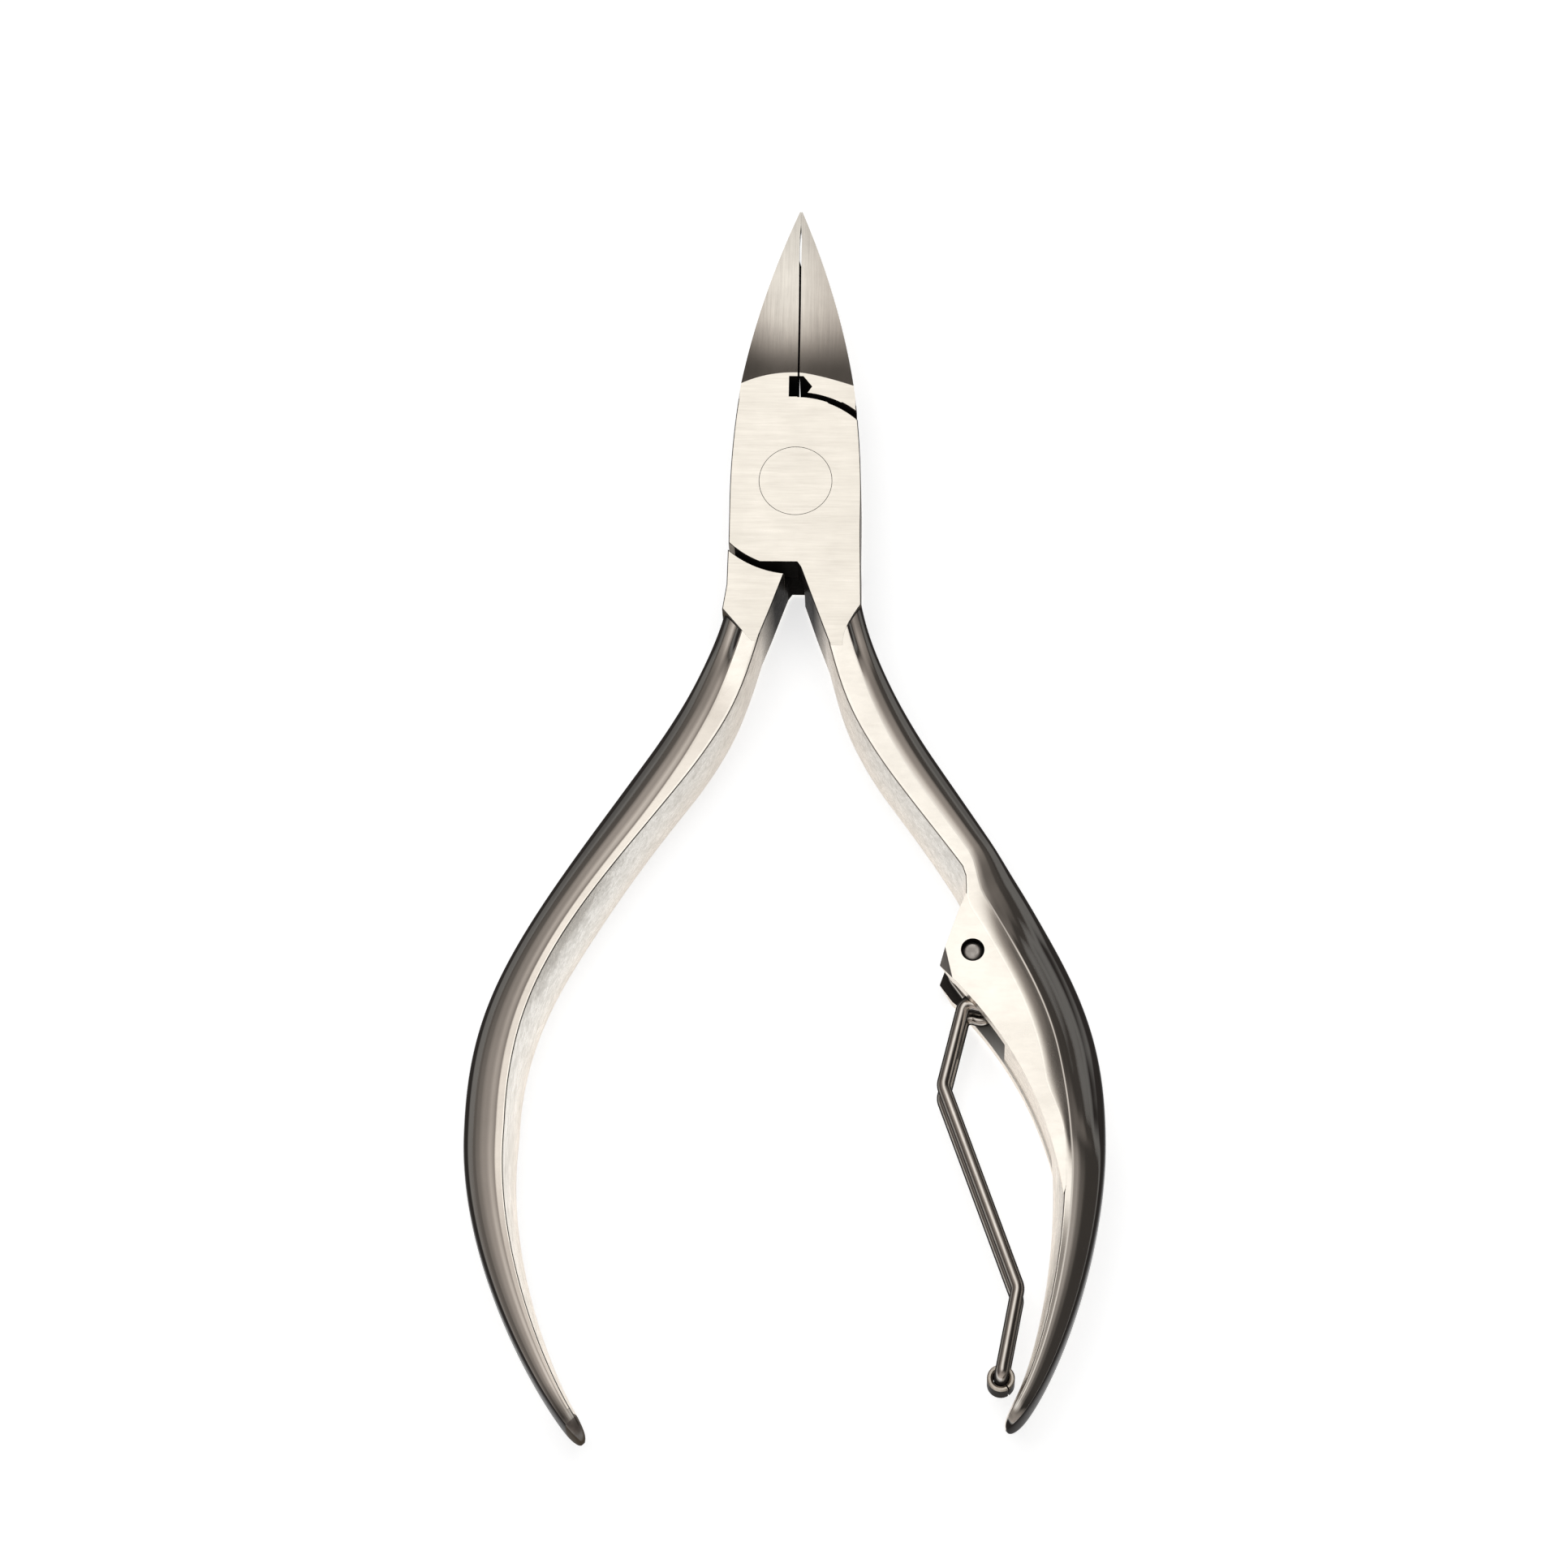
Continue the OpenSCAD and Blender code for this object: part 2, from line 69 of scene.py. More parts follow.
# Rivet, pin and ears.
RIVET_RADIUS = 3.225
RIVET_HEAD = 1.9
SHANK_RADIUS = 2.3
RIVET_SEAM = 0.05
RIVET_PLAY = 0.04
PIN = Vector((16.15, -43.7))
PIN_RADIUS = 1.0
EAR_THICKNESS = 1.3
EAR_STEP = 0.06
EAR_SUNK = 0.003
EYE_ROOM = 2.6

# Wire and roller.
WIRE_RADIUS = 0.6
WIRE_SIDES = 24
LEG_SPREAD = 2.1
LEG_FRONT = HALF + LEG_SPREAD
LEG_REAR = HALF - LEG_SPREAD
BAR_BEND = 0.8
ROLLER = Vector((18.9, -81.2))
ROLLER_RADIUS = 1.2
ROLLER_LENGTH = 2.4

# Handles, from the pivot to their ends.
LEFT_LENGTH = 87.4
RIGHT_LENGTH = 85.9

# Numbers of the finishes of an arm, in the order of ARM_FINISHES.
# Painted shade: black in gaps, slit and hole; dark on rims, cuts and the left end; darker on sides.
JOINT, JAW, POLISH, WALL, SIDE, GAP_SHADE, RIM_SHADE, BAND, POCKET = range(9)


# Making and finishing of a piece.

def let_go():
    """Nothing stays selected, so the next operator acts on its own piece only."""
    if bpy.context.object and bpy.context.object.mode != "OBJECT":
        bpy.ops.object.mode_set(mode="OBJECT")
    bpy.ops.object.select_all(action="DESELECT")


def take(piece):
    let_go()
    piece.select_set(True)
    bpy.context.view_layer.objects.active = piece
    return piece


def apply_modifier(piece, kind, **settings):
    take(piece)
    modifier = piece.modifiers.new(kind.lower(), kind)
    for key, value in settings.items():
        setattr(modifier, key, value)
    bpy.ops.object.modifier_apply(modifier=modifier.name)


def cut(piece, tool, operation="DIFFERENCE"):
    """The tool is taken off the piece, or added to it, and put away."""
    apply_modifier(piece, "BOOLEAN", operation=operation, solver="EXACT", object=tool)
    bpy.data.objects.remove(tool)
    return piece


def welded(piece, *others):
    """Bodies that are forged in one become one piece, each with the same list of finishes."""
    for part in (piece, *others):
        dress(part, *ARM_FINISHES)
    take(piece)
    for other in others:
        other.select_set(True)
    bpy.ops.object.join()
    return piece


def plan_block(name, outline, low, high):
    """A flat outline raised to a block."""
    let_go()
    bpy.ops.mesh.primitive_circle_add(vertices=len(outline), radius=1, fill_type="NGON")
    block = bpy.context.object
    block.name = name
    for vertex, (x, y) in zip(block.data.vertices, outline):
        vertex.co = (x, y, low)
    bpy.ops.object.mode_set(mode="EDIT")
    bpy.ops.mesh.select_all(action="SELECT")
    bpy.ops.mesh.extrude_region_move(TRANSFORM_OT_translate={"value": (0, 0, high - low)})
    bpy.ops.mesh.select_all(action="SELECT")
    bpy.ops.mesh.normals_make_consistent(inside=False)
    bpy.ops.object.mode_set(mode="OBJECT")
    return block


def drawn_through(name, rings):
    """A closed section drawn ring by ring along its path. Each point keeps its number in it."""
    let_go()
    count = len(rings[0])
    bpy.ops.mesh.primitive_circle_add(vertices=count, radius=1, fill_type="NGON")
    piece = bpy.context.object
    piece.name = name
    number = piece.data.attributes.new("section_point", "INT", "POINT")
    number.data.foreach_set("value", range(count))
    for vertex, place in zip(piece.data.vertices, rings[0]):
        vertex.co = place
    bpy.ops.object.mode_set(mode="EDIT")
    bpy.ops.mesh.select_all(action="SELECT")
    for ring in rings[1:]:
        bpy.ops.mesh.extrude_region_move()
        shape = bmesh.from_edit_mesh(piece.data)
        layer = shape.verts.layers.int["section_point"]
        for vertex in shape.verts:
            if vertex.select:
                vertex.co = ring[vertex[layer]]
    bmesh.update_edit_mesh(piece.data)
    bpy.ops.mesh.select_all(action="SELECT")
    bpy.ops.mesh.normals_make_consistent(inside=False)
    bpy.ops.object.mode_set(mode="OBJECT")
    return piece


def cylinder(name, radius, low, high, x=0.0, y=0.0, vertices=96):
    let_go()
    bpy.ops.mesh.primitive_cylinder_add(vertices=vertices, radius=radius, depth=high - low,
                                        location=(x, y, (low + high) / 2))
    bpy.ops.object.transform_apply(location=True, rotation=True, scale=True)
    bpy.context.object.name = name
    return bpy.context.object


def soften(piece, width, angle=30, segments=2, crisp=8, chosen=None, clamped=True):
    """Broken edges, with the flat faces kept flat. Edges that aren't broken stay sharp."""
    shape = bmesh.new()
    shape.from_mesh(piece.data)
    weight = shape.edges.layers.float.new("bevel_weight_edge")
    for face in shape.faces:
        face.smooth = True
    for edge in shape.edges:
        if len(edge.link_faces) == 2:
            turn = math.degrees(edge.calc_face_angle(0))
            broken = turn > angle and (chosen is None or chosen(edge))
            edge.smooth = turn <= crisp or broken
            edge[weight] = float(broken)
    shape.to_mesh(piece.data)
    shape.free()
    apply_modifier(piece, "BEVEL", width=width, segments=segments, limit_method="WEIGHT",
                   use_clamp_overlap=clamped, harden_normals=True)
    apply_modifier(piece, "WEIGHTED_NORMAL", keep_sharp=True)
    piece.data.attributes.remove(piece.data.attributes["bevel_weight_edge"])


def hand_over(piece, body, slot, *nodes):
    """From millimetres to the metres of the frame, and onto the body that carries it."""
    piece.data.transform(Matrix.Scale(0.001, 4))
    number = piece.data.attributes.get("section_point")
    if number:
        piece.data.attributes.remove(number)
    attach(piece, body)
    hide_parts(*nodes)
    return piece


# Curves of the plan.

def mix(a, b, f):
    return a + (b - a) * max(0.0, min(1.0, f))


def ease(f):
    f = max(0.0, min(1.0, f))
    return (1 - math.cos(math.pi * f)) / 2


def spread(a, b, count):
    return [a + (b - a) * i / (count - 1) for i in range(count)]


def slanted(degrees):
    """A direction that points down, turned to the right by so many degrees."""
    return Vector((math.sin(math.radians(degrees)), -math.cos(math.radians(degrees))))


def cubic(p, t):
    return (p[0] * (1 - t) ** 3 + p[1] * 3 * (1 - t) ** 2 * t
            + p[2] * 3 * (1 - t) * t * t + p[3] * t ** 3)


def cubic_direction(p, t):
    along = ((p[1] - p[0]) * (1 - t) ** 2 + (p[2] - p[1]) * 2 * (1 - t) * t
             + (p[3] - p[2]) * t * t)
    return along.normalized()


def arc(radius, first, last, count):
    return [(radius * math.cos(a), radius * math.sin(a)) for a in spread(first, last, count)]


ARCH_FALL = HALF_WIDTH - TIP_HALF
ARCH_RADIUS = ((JAW_LENGTH - ARCH_START) ** 2 + ARCH_FALL ** 2) / (2 * ARCH_FALL)


def jaw_side(y):
    """Half width of the two jaws together."""
    if y <= ARCH_START:
        return HALF_WIDTH
    return HALF_WIDTH - ARCH_RADIUS + math.sqrt(ARCH_RADIUS ** 2 - (y - ARCH_START) ** 2)


def side_meets(radius):
    """Height at which the side of the jaws meets a circle about the pivot."""
    low, high = 0.0, radius
    for _ in range(40):
        y = (low + high) / 2
        low, high = (y, high) if math.hypot(jaw_side(y), y) < radius else (low, y)
    return low


# Jaw, lap plate and boss of an arm: jaw on the left, boss on the right, plate in the upper half.

BOSS_TOP = (HALF_WIDTH + 0.1, -9.9)
BOSS_INNER = (2.05, -12.2)
SLIT_END = [(-SLIT_OPEN, 25.0), (-SLIT_TIP, 26.3), (-SLIT_TIP, JAW_LENGTH)]


def boss_end(scalloped):
    """End of the flat boss, from its outer corner to its inner edge."""
    if scalloped:
        return [(5.99, -11.75), (5.45, -12.6), (4.98, -13.45), (4.66, -14.25),
                (4.5, -15.0), (4.48, -15.6), (3.32, -15.6)]
    return [(6.3, -12.25), (3.75, -15.25), (3.2, -15.3)]


def boss_outline(scalloped):
    return ([BOSS_TOP] + boss_end(scalloped)
            + [BOSS_INNER, (0.65, -CROTCH - 0.5), (0.3, -CROTCH)])


def slit_edge(shift):
    """Inner edge of the jaw, from the lap to the tip."""
    root = shift - SLIT_ROOT
    return [(root, 9.2), (mix(root, -SLIT_OPEN, 0.5), 17.8), (-SLIT_OPEN, 22.6)] + SLIT_END


def arm_head(name, is_front):
    """The plate with the upper half of jaw and boss, their lower halves, the grind and the notch."""
    shift = SLIT_OFFSET if is_front else -SLIT_OFFSET
    root = shift - SLIT_ROOT
    meets = side_meets(PLATE_TOP)
    jaw_out = [(-jaw_side(y), y) for y in spread(JAW_LENGTH, ARCH_START, 40)]
    plate = [(HALF_WIDTH, -5.0)]
    plate += [(jaw_side(y), y) for y in spread(ARCH_START, meets, 10)]
    plate += arc(PLATE_TOP, math.atan2(meets, jaw_side(meets)), math.acos(root / PLATE_TOP), 40)[1:]
    plate += slit_edge(shift) + jaw_out
    foot = -math.sqrt(PLATE_BOTTOM ** 2 - HALF_WIDTH ** 2)
    crotch = -math.sqrt(PLATE_BOTTOM ** 2 - CROTCH ** 2)
    plate += arc(PLATE_BOTTOM, math.atan2(foot, -HALF_WIDTH), math.atan2(-CROTCH, crotch), 14)
    plate += boss_outline(is_front)[::-1]
    head = plan_block(name, plate, HALF + LAP_GAP, THICKNESS)

    over = PLATE_TOP + SHOULDER_GAP
    edge = side_meets(over)
    jaw = [(-jaw_side(y), y) for y in spread(JAW_LENGTH, edge, 34)]
    jaw += arc(over, math.atan2(edge, -jaw_side(edge)), math.acos(root / over), 40)[1:]
    if is_front:
        jaw += [(root, 13.0), (root + 0.15, 13.05), (root + 0.1, 22.3), (-SLIT_OPEN, 23.0)]
        jaw += SLIT_END
    else:
        jaw += slit_edge(shift)
    cut(head, plan_block("jaw_foot", jaw, 0.0, HALF + FOOT_OVERLAP), "UNION")

    under = PLATE_BOTTOM + SHOULDER_GAP
    ends = [math.atan2(-math.sqrt(under ** 2 - x ** 2), x) for x in (5.9, 0.87)]
    boss = arc(under, *ends, 26)
    boss += [(0.9, -8.9), BOSS_INNER] + boss_end(is_front)[::-1] + [BOSS_TOP]
    cut(head, plan_block("boss_foot", boss, 0.0, HALF + FOOT_OVERLAP), "UNION")

    for side in (1, -1):
        cut(head, grinding_wheel(side, FRONT_BULGE if is_front else REAR_BULGE))
    cut(head, notch_tool(is_front))
    return head


def grinding_wheel(side, bulge):
    """The part of a wheel that hollows a jaw from ridge to tip, on its upper or lower face."""
    fall = HALF + TIP_THICKNESS / 2 - THICKNESS
    run = JAW_LENGTH - GRIND_START
    chord = math.hypot(run, fall)
    rise = math.sqrt(GRIND_RADIUS ** 2 - chord ** 2 / 4)
    y = GRIND_START + run / 2 - rise * fall / chord
    z = THICKNESS + fall / 2 + rise * run / chord
    back, past_tip, above = 6.5, 30, THICKNESS + 6
    rings = []
    for x in spread(0.8, -7.2, 17):
        radius = GRIND_RADIUS + GRIND_DEEPER * (max(0.0, -x) / HALF_WIDTH) ** bulge
        ring = [(x, p, z - math.sqrt(radius ** 2 - (p - y) ** 2))
                for p in spread(back, past_tip, 120)]
        rings.append(ring + [(x, past_tip, above), (x, back, above)])
    wheel = drawn_through("wheel", rings)
    if side < 0:
        lower = Matrix.Translation((0, 0, THICKNESS)) @ Matrix.Scale(-1, 4, (0, 0, 1))
        wheel.data.transform(lower)
        wheel.data.flip_normals()
    return wheel


def notch_tool(is_front):
    """The notch at the foot of the slit: square in one arm, pointed in the other."""
    low = PLATE_TOP + 0.05
    high = low + NOTCH_LENGTH
    outline = [(NOTCH_PAST, low), (NOTCH_PAST, high)]
    if is_front:
        outline += [(-NOTCH_SQUARE, high), (-NOTCH_SQUARE, low)]
    else:
        outline += [(-0.55, high), (-NOTCH_POINT, low + NOTCH_LENGTH / 2),
                    (-NOTCH_SQUARE, low + 0.1)]
    return plan_block("notch_tool", outline, -1.0, THICKNESS + 1.0)


# Handles. A place along a handle runs from 0 to 3 over three curves, given at the right side.

ROOT_POINT = Vector((HALF_WIDTH - 0.1, -9.5))
BEND = Vector((12.8, -25.75))
BEND_SLANT = 33.6
BELLY = Vector((27.85, -60.4))


def handle_curves(end, end_slant, belly_pull, end_pull, root_shift):
    """The outer edge of a handle, from the joint by the bend and the belly to its end."""
    root = ROOT_POINT + Vector((root_shift, 0))
    return [
        [root, root + 5 * slanted(6), BEND - 6.8 * slanted(BEND_SLANT), BEND],
        [BEND, BEND + 21.6 * slanted(BEND_SLANT), BELLY + Vector((0, 11.85)), BELLY],
        [BELLY, BELLY - Vector((0, belly_pull)), end - end_pull * slanted(end_slant), end],
    ]


LEFT_CURVES = handle_curves(Vector((17.1, -LEFT_LENGTH)), -47.6, 11.8, 4.1, 0.0)
RIGHT_CURVES = handle_curves(Vector((19.7, -RIGHT_LENGTH)), -52.9, 10.5, 4.2, 0.1)


def outer_point(curves, s):
    piece = min(2, int(s))
    return cubic(curves[piece], s - piece)


def inward(curves, s):
    piece = min(2, int(s))
    d = cubic_direction(curves[piece], s - piece)
    return Vector((d.y, -d.x))


# Distances below the pivot with the value there, and the value at the end of the handle.
WIDTH_STOPS = [(BOSS_LENGTH, 3.8), (21, 4.4), (41, 3.4), (55, 3.75)]
WIDTH_AT_END = 1.0
CROWN_STOPS = [(BOSS_LENGTH, 0.12), (26, 0.8), (41, 1.6), (60, 1.05)]
CROWN_AT_END = 0.32
HEIGHT_AT_END = 5.2
TAPER_START = 60


def taper(y, end_y):
    return max(0.0, min(1.0, (y - TAPER_START) / (end_y - TAPER_START)))


def through(stops, y):
    """The value at y, eased from stop to stop and kept after the last."""
    for (start, low), (stop, high) in zip(stops, stops[1:]):
        if y < stop:
            return mix(low, high, ease((y - start) / (stop - start)))
    return stops[-1][1]


def handle_width(y, end_y):
    return mix(through(WIDTH_STOPS, y), WIDTH_AT_END, taper(y, end_y) ** 1.25)


def wall_crown(y, end_y):
    return mix(through(CROWN_STOPS, y), CROWN_AT_END, taper(y, end_y))


def handle_height(y, end_y):
    full = THICKNESS - 2 * mix(0.004, 0.06, ease((y - 15.6) / 8))
    return mix(full, HEIGHT_AT_END, taper(y, end_y) ** 1.3)


def pad_share(y):
    """How far the rounded side gives way to the pad of the ears."""
    return ease((y - 33) / 4) * (1 - ease((y - 52) / 12))


def pad_drop(y):
    """How far the flat falls off from the ears to the crease."""
    return ease((y - 35.5) / 7) * (1 - ease((y - 52) / 13))


def pad_reach(y):
    """How far the flat of the handle reaches out under the ears."""
    return ease((y - 33.9) / 3.2) * (1 - ease((y - 54) / 7))


def scoop(y):
    """How deep the rounded side is scooped out where it starts at the boss."""
    return 1 - ease((y - 13.5) / 5)


WALL_POINTS = 13
EDGE = 0.1
LIP = 0.2
PAD_FALL = 0.4
DOME_END = 0.88
DOME_STEPS = 120
DOME_POINTS = 16
SIDE_POINTS = 6
BAND_POINTS = 7
BAND_FIRST = 2
BAND_LAST = BAND_FIRST + BAND_POINTS
BAND_STOPS = 2.6
CAP_LENGTH = 1.7
TAIL = 0.16
LAST_PLACE = 2.999


def dome_heights(width, first, last, power, hollow):
    """Fall of the rounded side below its edge, at equal steps of its width."""
    heights = [0.0]
    for i in range(DOME_STEPS):
        x = (i + 0.5) / DOME_STEPS
        turn = first + (last - first) * x ** power
        scooped = through([(0, 44), (0.45, 12), (1, last)], x)
        fall = math.tan(math.radians(mix(turn, scooped, hollow)))
        heights.append(heights[-1] + fall * width * DOME_END / DOME_STEPS)
    return heights


def dome_width(y, end_y, eared):
    """Width of the rounded side: most of the handle, less near the joint and beside the ears."""
    w = handle_width(y, end_y)
    if not eared:
        return w * mix(0.6, 0.8, ease((y - 16) / 16))
    plain = w * (mix(0.52, 0.66, ease((y - 16) / 12)) if y < 45 else 0.82)
    return mix(plain, 3.55, pad_share(y))


def flat_width(y, end_y, eared):
    """Distance from the outer edge of the handle to the edge of its inner wall."""
    plain = max(handle_width(y, end_y), dome_width(y, end_y, eared) + 0.25)
    return mix(plain, 5.15, pad_reach(y) if eared else 0.0)


def band_tilt(y, eared):
    """Slope of the flat band in degrees: it leans outward, more so towards the end."""
    if eared:
        return 12 * ease((y - 64) / 8)
    return 9.5 * ease((y - 15) / 6) + 5 * ease((y - 62) / 12)


def half_section(y, end_y, eared, steep):
    """From the edge of the inner wall over the flat band and the rounded side to mid height."""
    drop = pad_drop(y) if eared else 0.0
    top = handle_height(y, end_y) / 2
    dome = dome_width(y, end_y, eared)
    w = flat_width(y, end_y, eared)
    lean = (w - EDGE - dome) * math.tan(math.radians(band_tilt(y, eared)))
    points = [(w, top - EDGE), (w - 0.3 * EDGE, top - 0.3 * EDGE), (w - EDGE, top)]
    for i in range(1, BAND_POINTS + 1):
        f = i / BAND_POINTS
        points.append((mix(w - EDGE, dome, f), top - lean * f - PAD_FALL * drop * f * f))
    lip = LIP * min(1.0, dome / 2.9)
    lip_fall = lip * math.tan(math.radians(6 if eared else 18))
    start = top - lean - PAD_FALL * drop
    for f in (0.25, 0.75, 1.0):
        points.append((dome - f * lip, start - f * lip_fall))
    u, z = points[-1]
    if eared:
        below = ease((y - 57) / 8)
        first = mix(mix(6, 27, drop), 9.5 + 2.5 * ease((y - 70) / 10), below)
        power = mix(mix(0.8, 1.1, drop), 1.95, below)
        heights = dome_heights(u, first, steep, power, scoop(y))
    else:
        heights = dome_heights(u, 14, steep, 1.6, scoop(y))
    for i in range(1, DOME_POINTS + 1):
        f = i / DOME_POINTS
        points.append((u * (1 - f * DOME_END), z - heights[round(f * (len(heights) - 1))]))
    u, z = points[-1]
    knee = max(0.4 * z, z - u * math.tan(math.radians(steep)))
    for i in range(1, SIDE_POINTS + 1):
        t = i / SIDE_POINTS
        points.append(((1 - t) ** 2 * u, (1 - t) ** 2 * z + 2 * t * (1 - t) * knee))
    return points


def handle_section(y, end_y, eared, steep):
    """The whole section: upper half, its mirror image below, and the crowned inner wall."""
    front = half_section(y, end_y, eared, steep)
    rear = [(u, -z) for u, z in reversed(front[:-1])]
    corner_u, corner_z = front[0]
    deepest = handle_width(y, end_y) + wall_crown(y, end_y)
    wall = []
    for v in spread(-1, 1, WALL_POINTS + 2)[1:-1]:
        wall.append((corner_u + (deepest - corner_u) * (1 - v * v), v * corner_z))
    return front + rear + wall


def handle_rings(curves, end_y, eared, mirrored):
    """Sections along a handle, in full size up to the rounded tail that closes its end."""
    places = spread(0.0, 2.0, 110)[:-1] + spread(2.0, 3 - TAIL, 46)
    tail = [(3 - TAIL + TAIL * math.sin(a), math.cos(a) ** 0.8)
            for a in spread(0, math.radians(87), 16)[1:]]
    rings = []
    for s, size in [(s, 1.0) for s in places] + tail:
        s = min(s, LAST_PLACE)
        o, n = outer_point(curves, s), inward(curves, s)
        width = handle_width(-o.y, end_y)
        ring = []
        for u, z in handle_section(-o.y, end_y, eared, 43 + 13 * n.y):
            u = width / 2 + (u - width / 2) * size
            p = o + n * u
            away = p - PIN
            if eared and abs(z) < HALF - EAR_STEP - EAR_THICKNESS and away.length < EYE_ROOM:
                p = PIN + away.normalized() * EYE_ROOM
            ring.append((-p.x if mirrored else p.x, p.y, HALF + z * size))
        rings.append(ring)
    return rings


def handle(name, curves, end_y, eared=False, mirrored=False):
    """A handle with its finishes: wall, flat band, polished side, and painted shade on edge and left
    end.
    """
    piece = drawn_through(name, handle_rings(curves, end_y, eared, mirrored))
    first_wall = 2 * len(half_section(60, end_y, eared, 40)) - 1
    shape = bmesh.new()
    shape.from_mesh(piece.data)
    layer = shape.verts.layers.int["section_point"]
    tip = curves[2][3]
    tip_way = (tip - curves[2][2]).normalized()
    for face in shape.faces:
        face.smooth = True
        numbers = [v[layer] for v in face.verts]
        on_wall = all(k >= first_wall or k in (0, first_wall - 1) for k in numbers)
        on_band = all(BAND_FIRST <= k <= BAND_LAST
                      or BAND_FIRST <= first_wall - 1 - k <= BAND_LAST for k in numbers)
        at_edge = all(k <= BAND_FIRST
                      or 0 <= first_wall - 1 - k <= BAND_FIRST for k in numbers)
        center = face.calc_center_median()
        to_end = (tip - Vector((abs(center.x), center.y))).dot(tip_way)
        face.material_index = (WALL if on_wall else SIDE if at_edge
                               else BAND if on_band and to_end > BAND_STOPS else POLISH)
        # Painted shade: the end of the left handle is dark.
        if not eared and to_end < CAP_LENGTH:
            face.material_index = RIM_SHADE
    shape.to_mesh(piece.data)
    shape.free()
    apply_modifier(piece, "WEIGHTED_NORMAL", keep_sharp=True)
    return piece


# Ears that hold the pin of the spring.

EAR_LOWER = [PIN + Vector((-0.5, -3.88)), PIN + Vector((3.2, -8)),
             BELLY + Vector((-5.1, 3.2)), BELLY + Vector((-3.7, -5.2))]
EAR_FREE = [(-1.42, -2.86), (-1.73, -2.6), (-2.85, -1.08), (-1.19, 3.81), (-0.6, 5.2)]
EAR_CUT_PLACE = (PIN.x - 2.4, PIN.y + 0.3)
EAR_CUT_TURN = -77
EAR_CUT_LEAN = math.radians(30)


def ear_back(inset, highest):
    """A line along the edge of the handle's flat, from a height downward."""
    line = []
    for s in spread(1.2, 2.15, 46):
        o, n = outer_point(RIGHT_CURVES, s), inward(RIGHT_CURVES, s)
        line.append(o + n * (flat_width(-o.y, RIGHT_LENGTH, True) - inset))
    return [p for p in line if p.y < highest]


def ear_outline():
    """Free edge of the ear, from its lower end round the pin, and back along the handle."""
    edge = [cubic(EAR_LOWER, t) for t in spread(1, 0, 25)]
    edge += [PIN + Vector(place) for place in EAR_FREE]
    return [tuple(p) for p in edge + ear_back(0.16, PIN.y + 5.05)]


def ear_web():
    """Below the slot of the wire the ears are one with the forging between them."""
    edge = [cubic(EAR_LOWER, t) + Vector((0.15, 0.05)) for t in spread(1, 0.3, 24)]
    outline = [tuple(p) for p in edge + ear_back(0.8, edge[-1].y + 0.3)]
    overlap = 0.2
    low = EAR_STEP + EAR_THICKNESS - overlap
    web = plan_block("ear_web", outline, low, THICKNESS - low)
    soften(web, 0.03)
    for polygon in web.data.polygons:
        polygon.material_index = WALL
    return web


def ear(name, low, face, side):
    """A plate with the hole for the pin and a slanted cut across its free corner."""
    piece = plan_block(name, ear_outline(), low, low + EAR_THICKNESS)
    cut(piece, cylinder("pin_hole", PIN_RADIUS + 0.03, -1, THICKNESS + 1, PIN.x, PIN.y, 64))
    take(piece)
    bpy.ops.object.mode_set(mode="EDIT")
    bpy.ops.mesh.select_all(action="SELECT")
    across = slanted(EAR_CUT_TURN) * math.cos(EAR_CUT_LEAN)
    lean = Vector((across.x, across.y, side * math.sin(EAR_CUT_LEAN)))
    bpy.ops.mesh.bisect(plane_co=(*EAR_CUT_PLACE, face), plane_no=lean,
                        use_fill=True, clear_outer=True)
    bpy.ops.object.mode_set(mode="OBJECT")
    soften(piece, 0.07)
    for polygon in piece.data.polygons:
        up = abs(polygon.normal.z)
        in_hole = (polygon.center.xy - PIN).length < PIN_RADIUS + 0.06 and up < 0.9
        in_cut = 0.3 < up < 0.7 and polygon.area > 0.3
        in_pocket = up > 0.9 and abs(polygon.center.z - HALF) < HALF - 1.0
        # Painted shade: the pin hole is black and the slanted cut dark.
        polygon.material_index = (GAP_SHADE if in_hole else RIM_SHADE if in_cut else POCKET if in_pocket
                                  else BAND if up > 0.5 else WALL)
    return piece


# The arms.

JAW_FROM = 8.5
SLIT_SHADE_TO = 22.5
BOSS_FROM = -10.5
HEAD_BEVEL = 0.08


def outer_edge(edge):
    """True on the edges round the flat faces of a head, clear of rivet, slit and jaws."""
    middle = (edge.verts[0].co + edge.verts[1].co) / 2
    on_face = all(abs(vertex.co.z - HALF) > HALF - 0.01 for vertex in edge.verts)
    clear = abs(middle.x) > 1.7 and middle.y < 7.5 or middle.y < -CROTCH - 0.7
    at_band = abs(middle.x) < 4.4 and middle.y < -15.0
    off_rivet = middle.xy.length > 3.6
    return on_face and clear and not at_band and off_rivet and edge.calc_length() > 0.12


def finish_head(head):
    """Each face of a head gets its finish: joint, jaw, wall, or painted shade: black gap, dark rim,
    darker side.
    """
    for polygon in head.data.polygons:
        up = abs(polygon.normal.z)
        x, y = abs(polygon.center.x), polygon.center.y
        inside = abs(polygon.center.z - HALF) < HALF - 0.5
        if up > 0.9995:
            polygon.material_index = GAP_SHADE if inside else JOINT
        elif up > 0.9 and y > JAW_FROM:
            polygon.material_index = JAW
        elif x < 0.9 * jaw_side(y) and y > -CROTCH - 0.6:
            polygon.material_index = GAP_SHADE if y < SLIT_SHADE_TO else JAW
        elif y < BOSS_FROM and x < 3.4 and up < 0.05:
            polygon.material_index = WALL
        else:
            polygon.material_index = RIM_SHADE if up > 0.05 or y < BOSS_FROM else SIDE
    return head


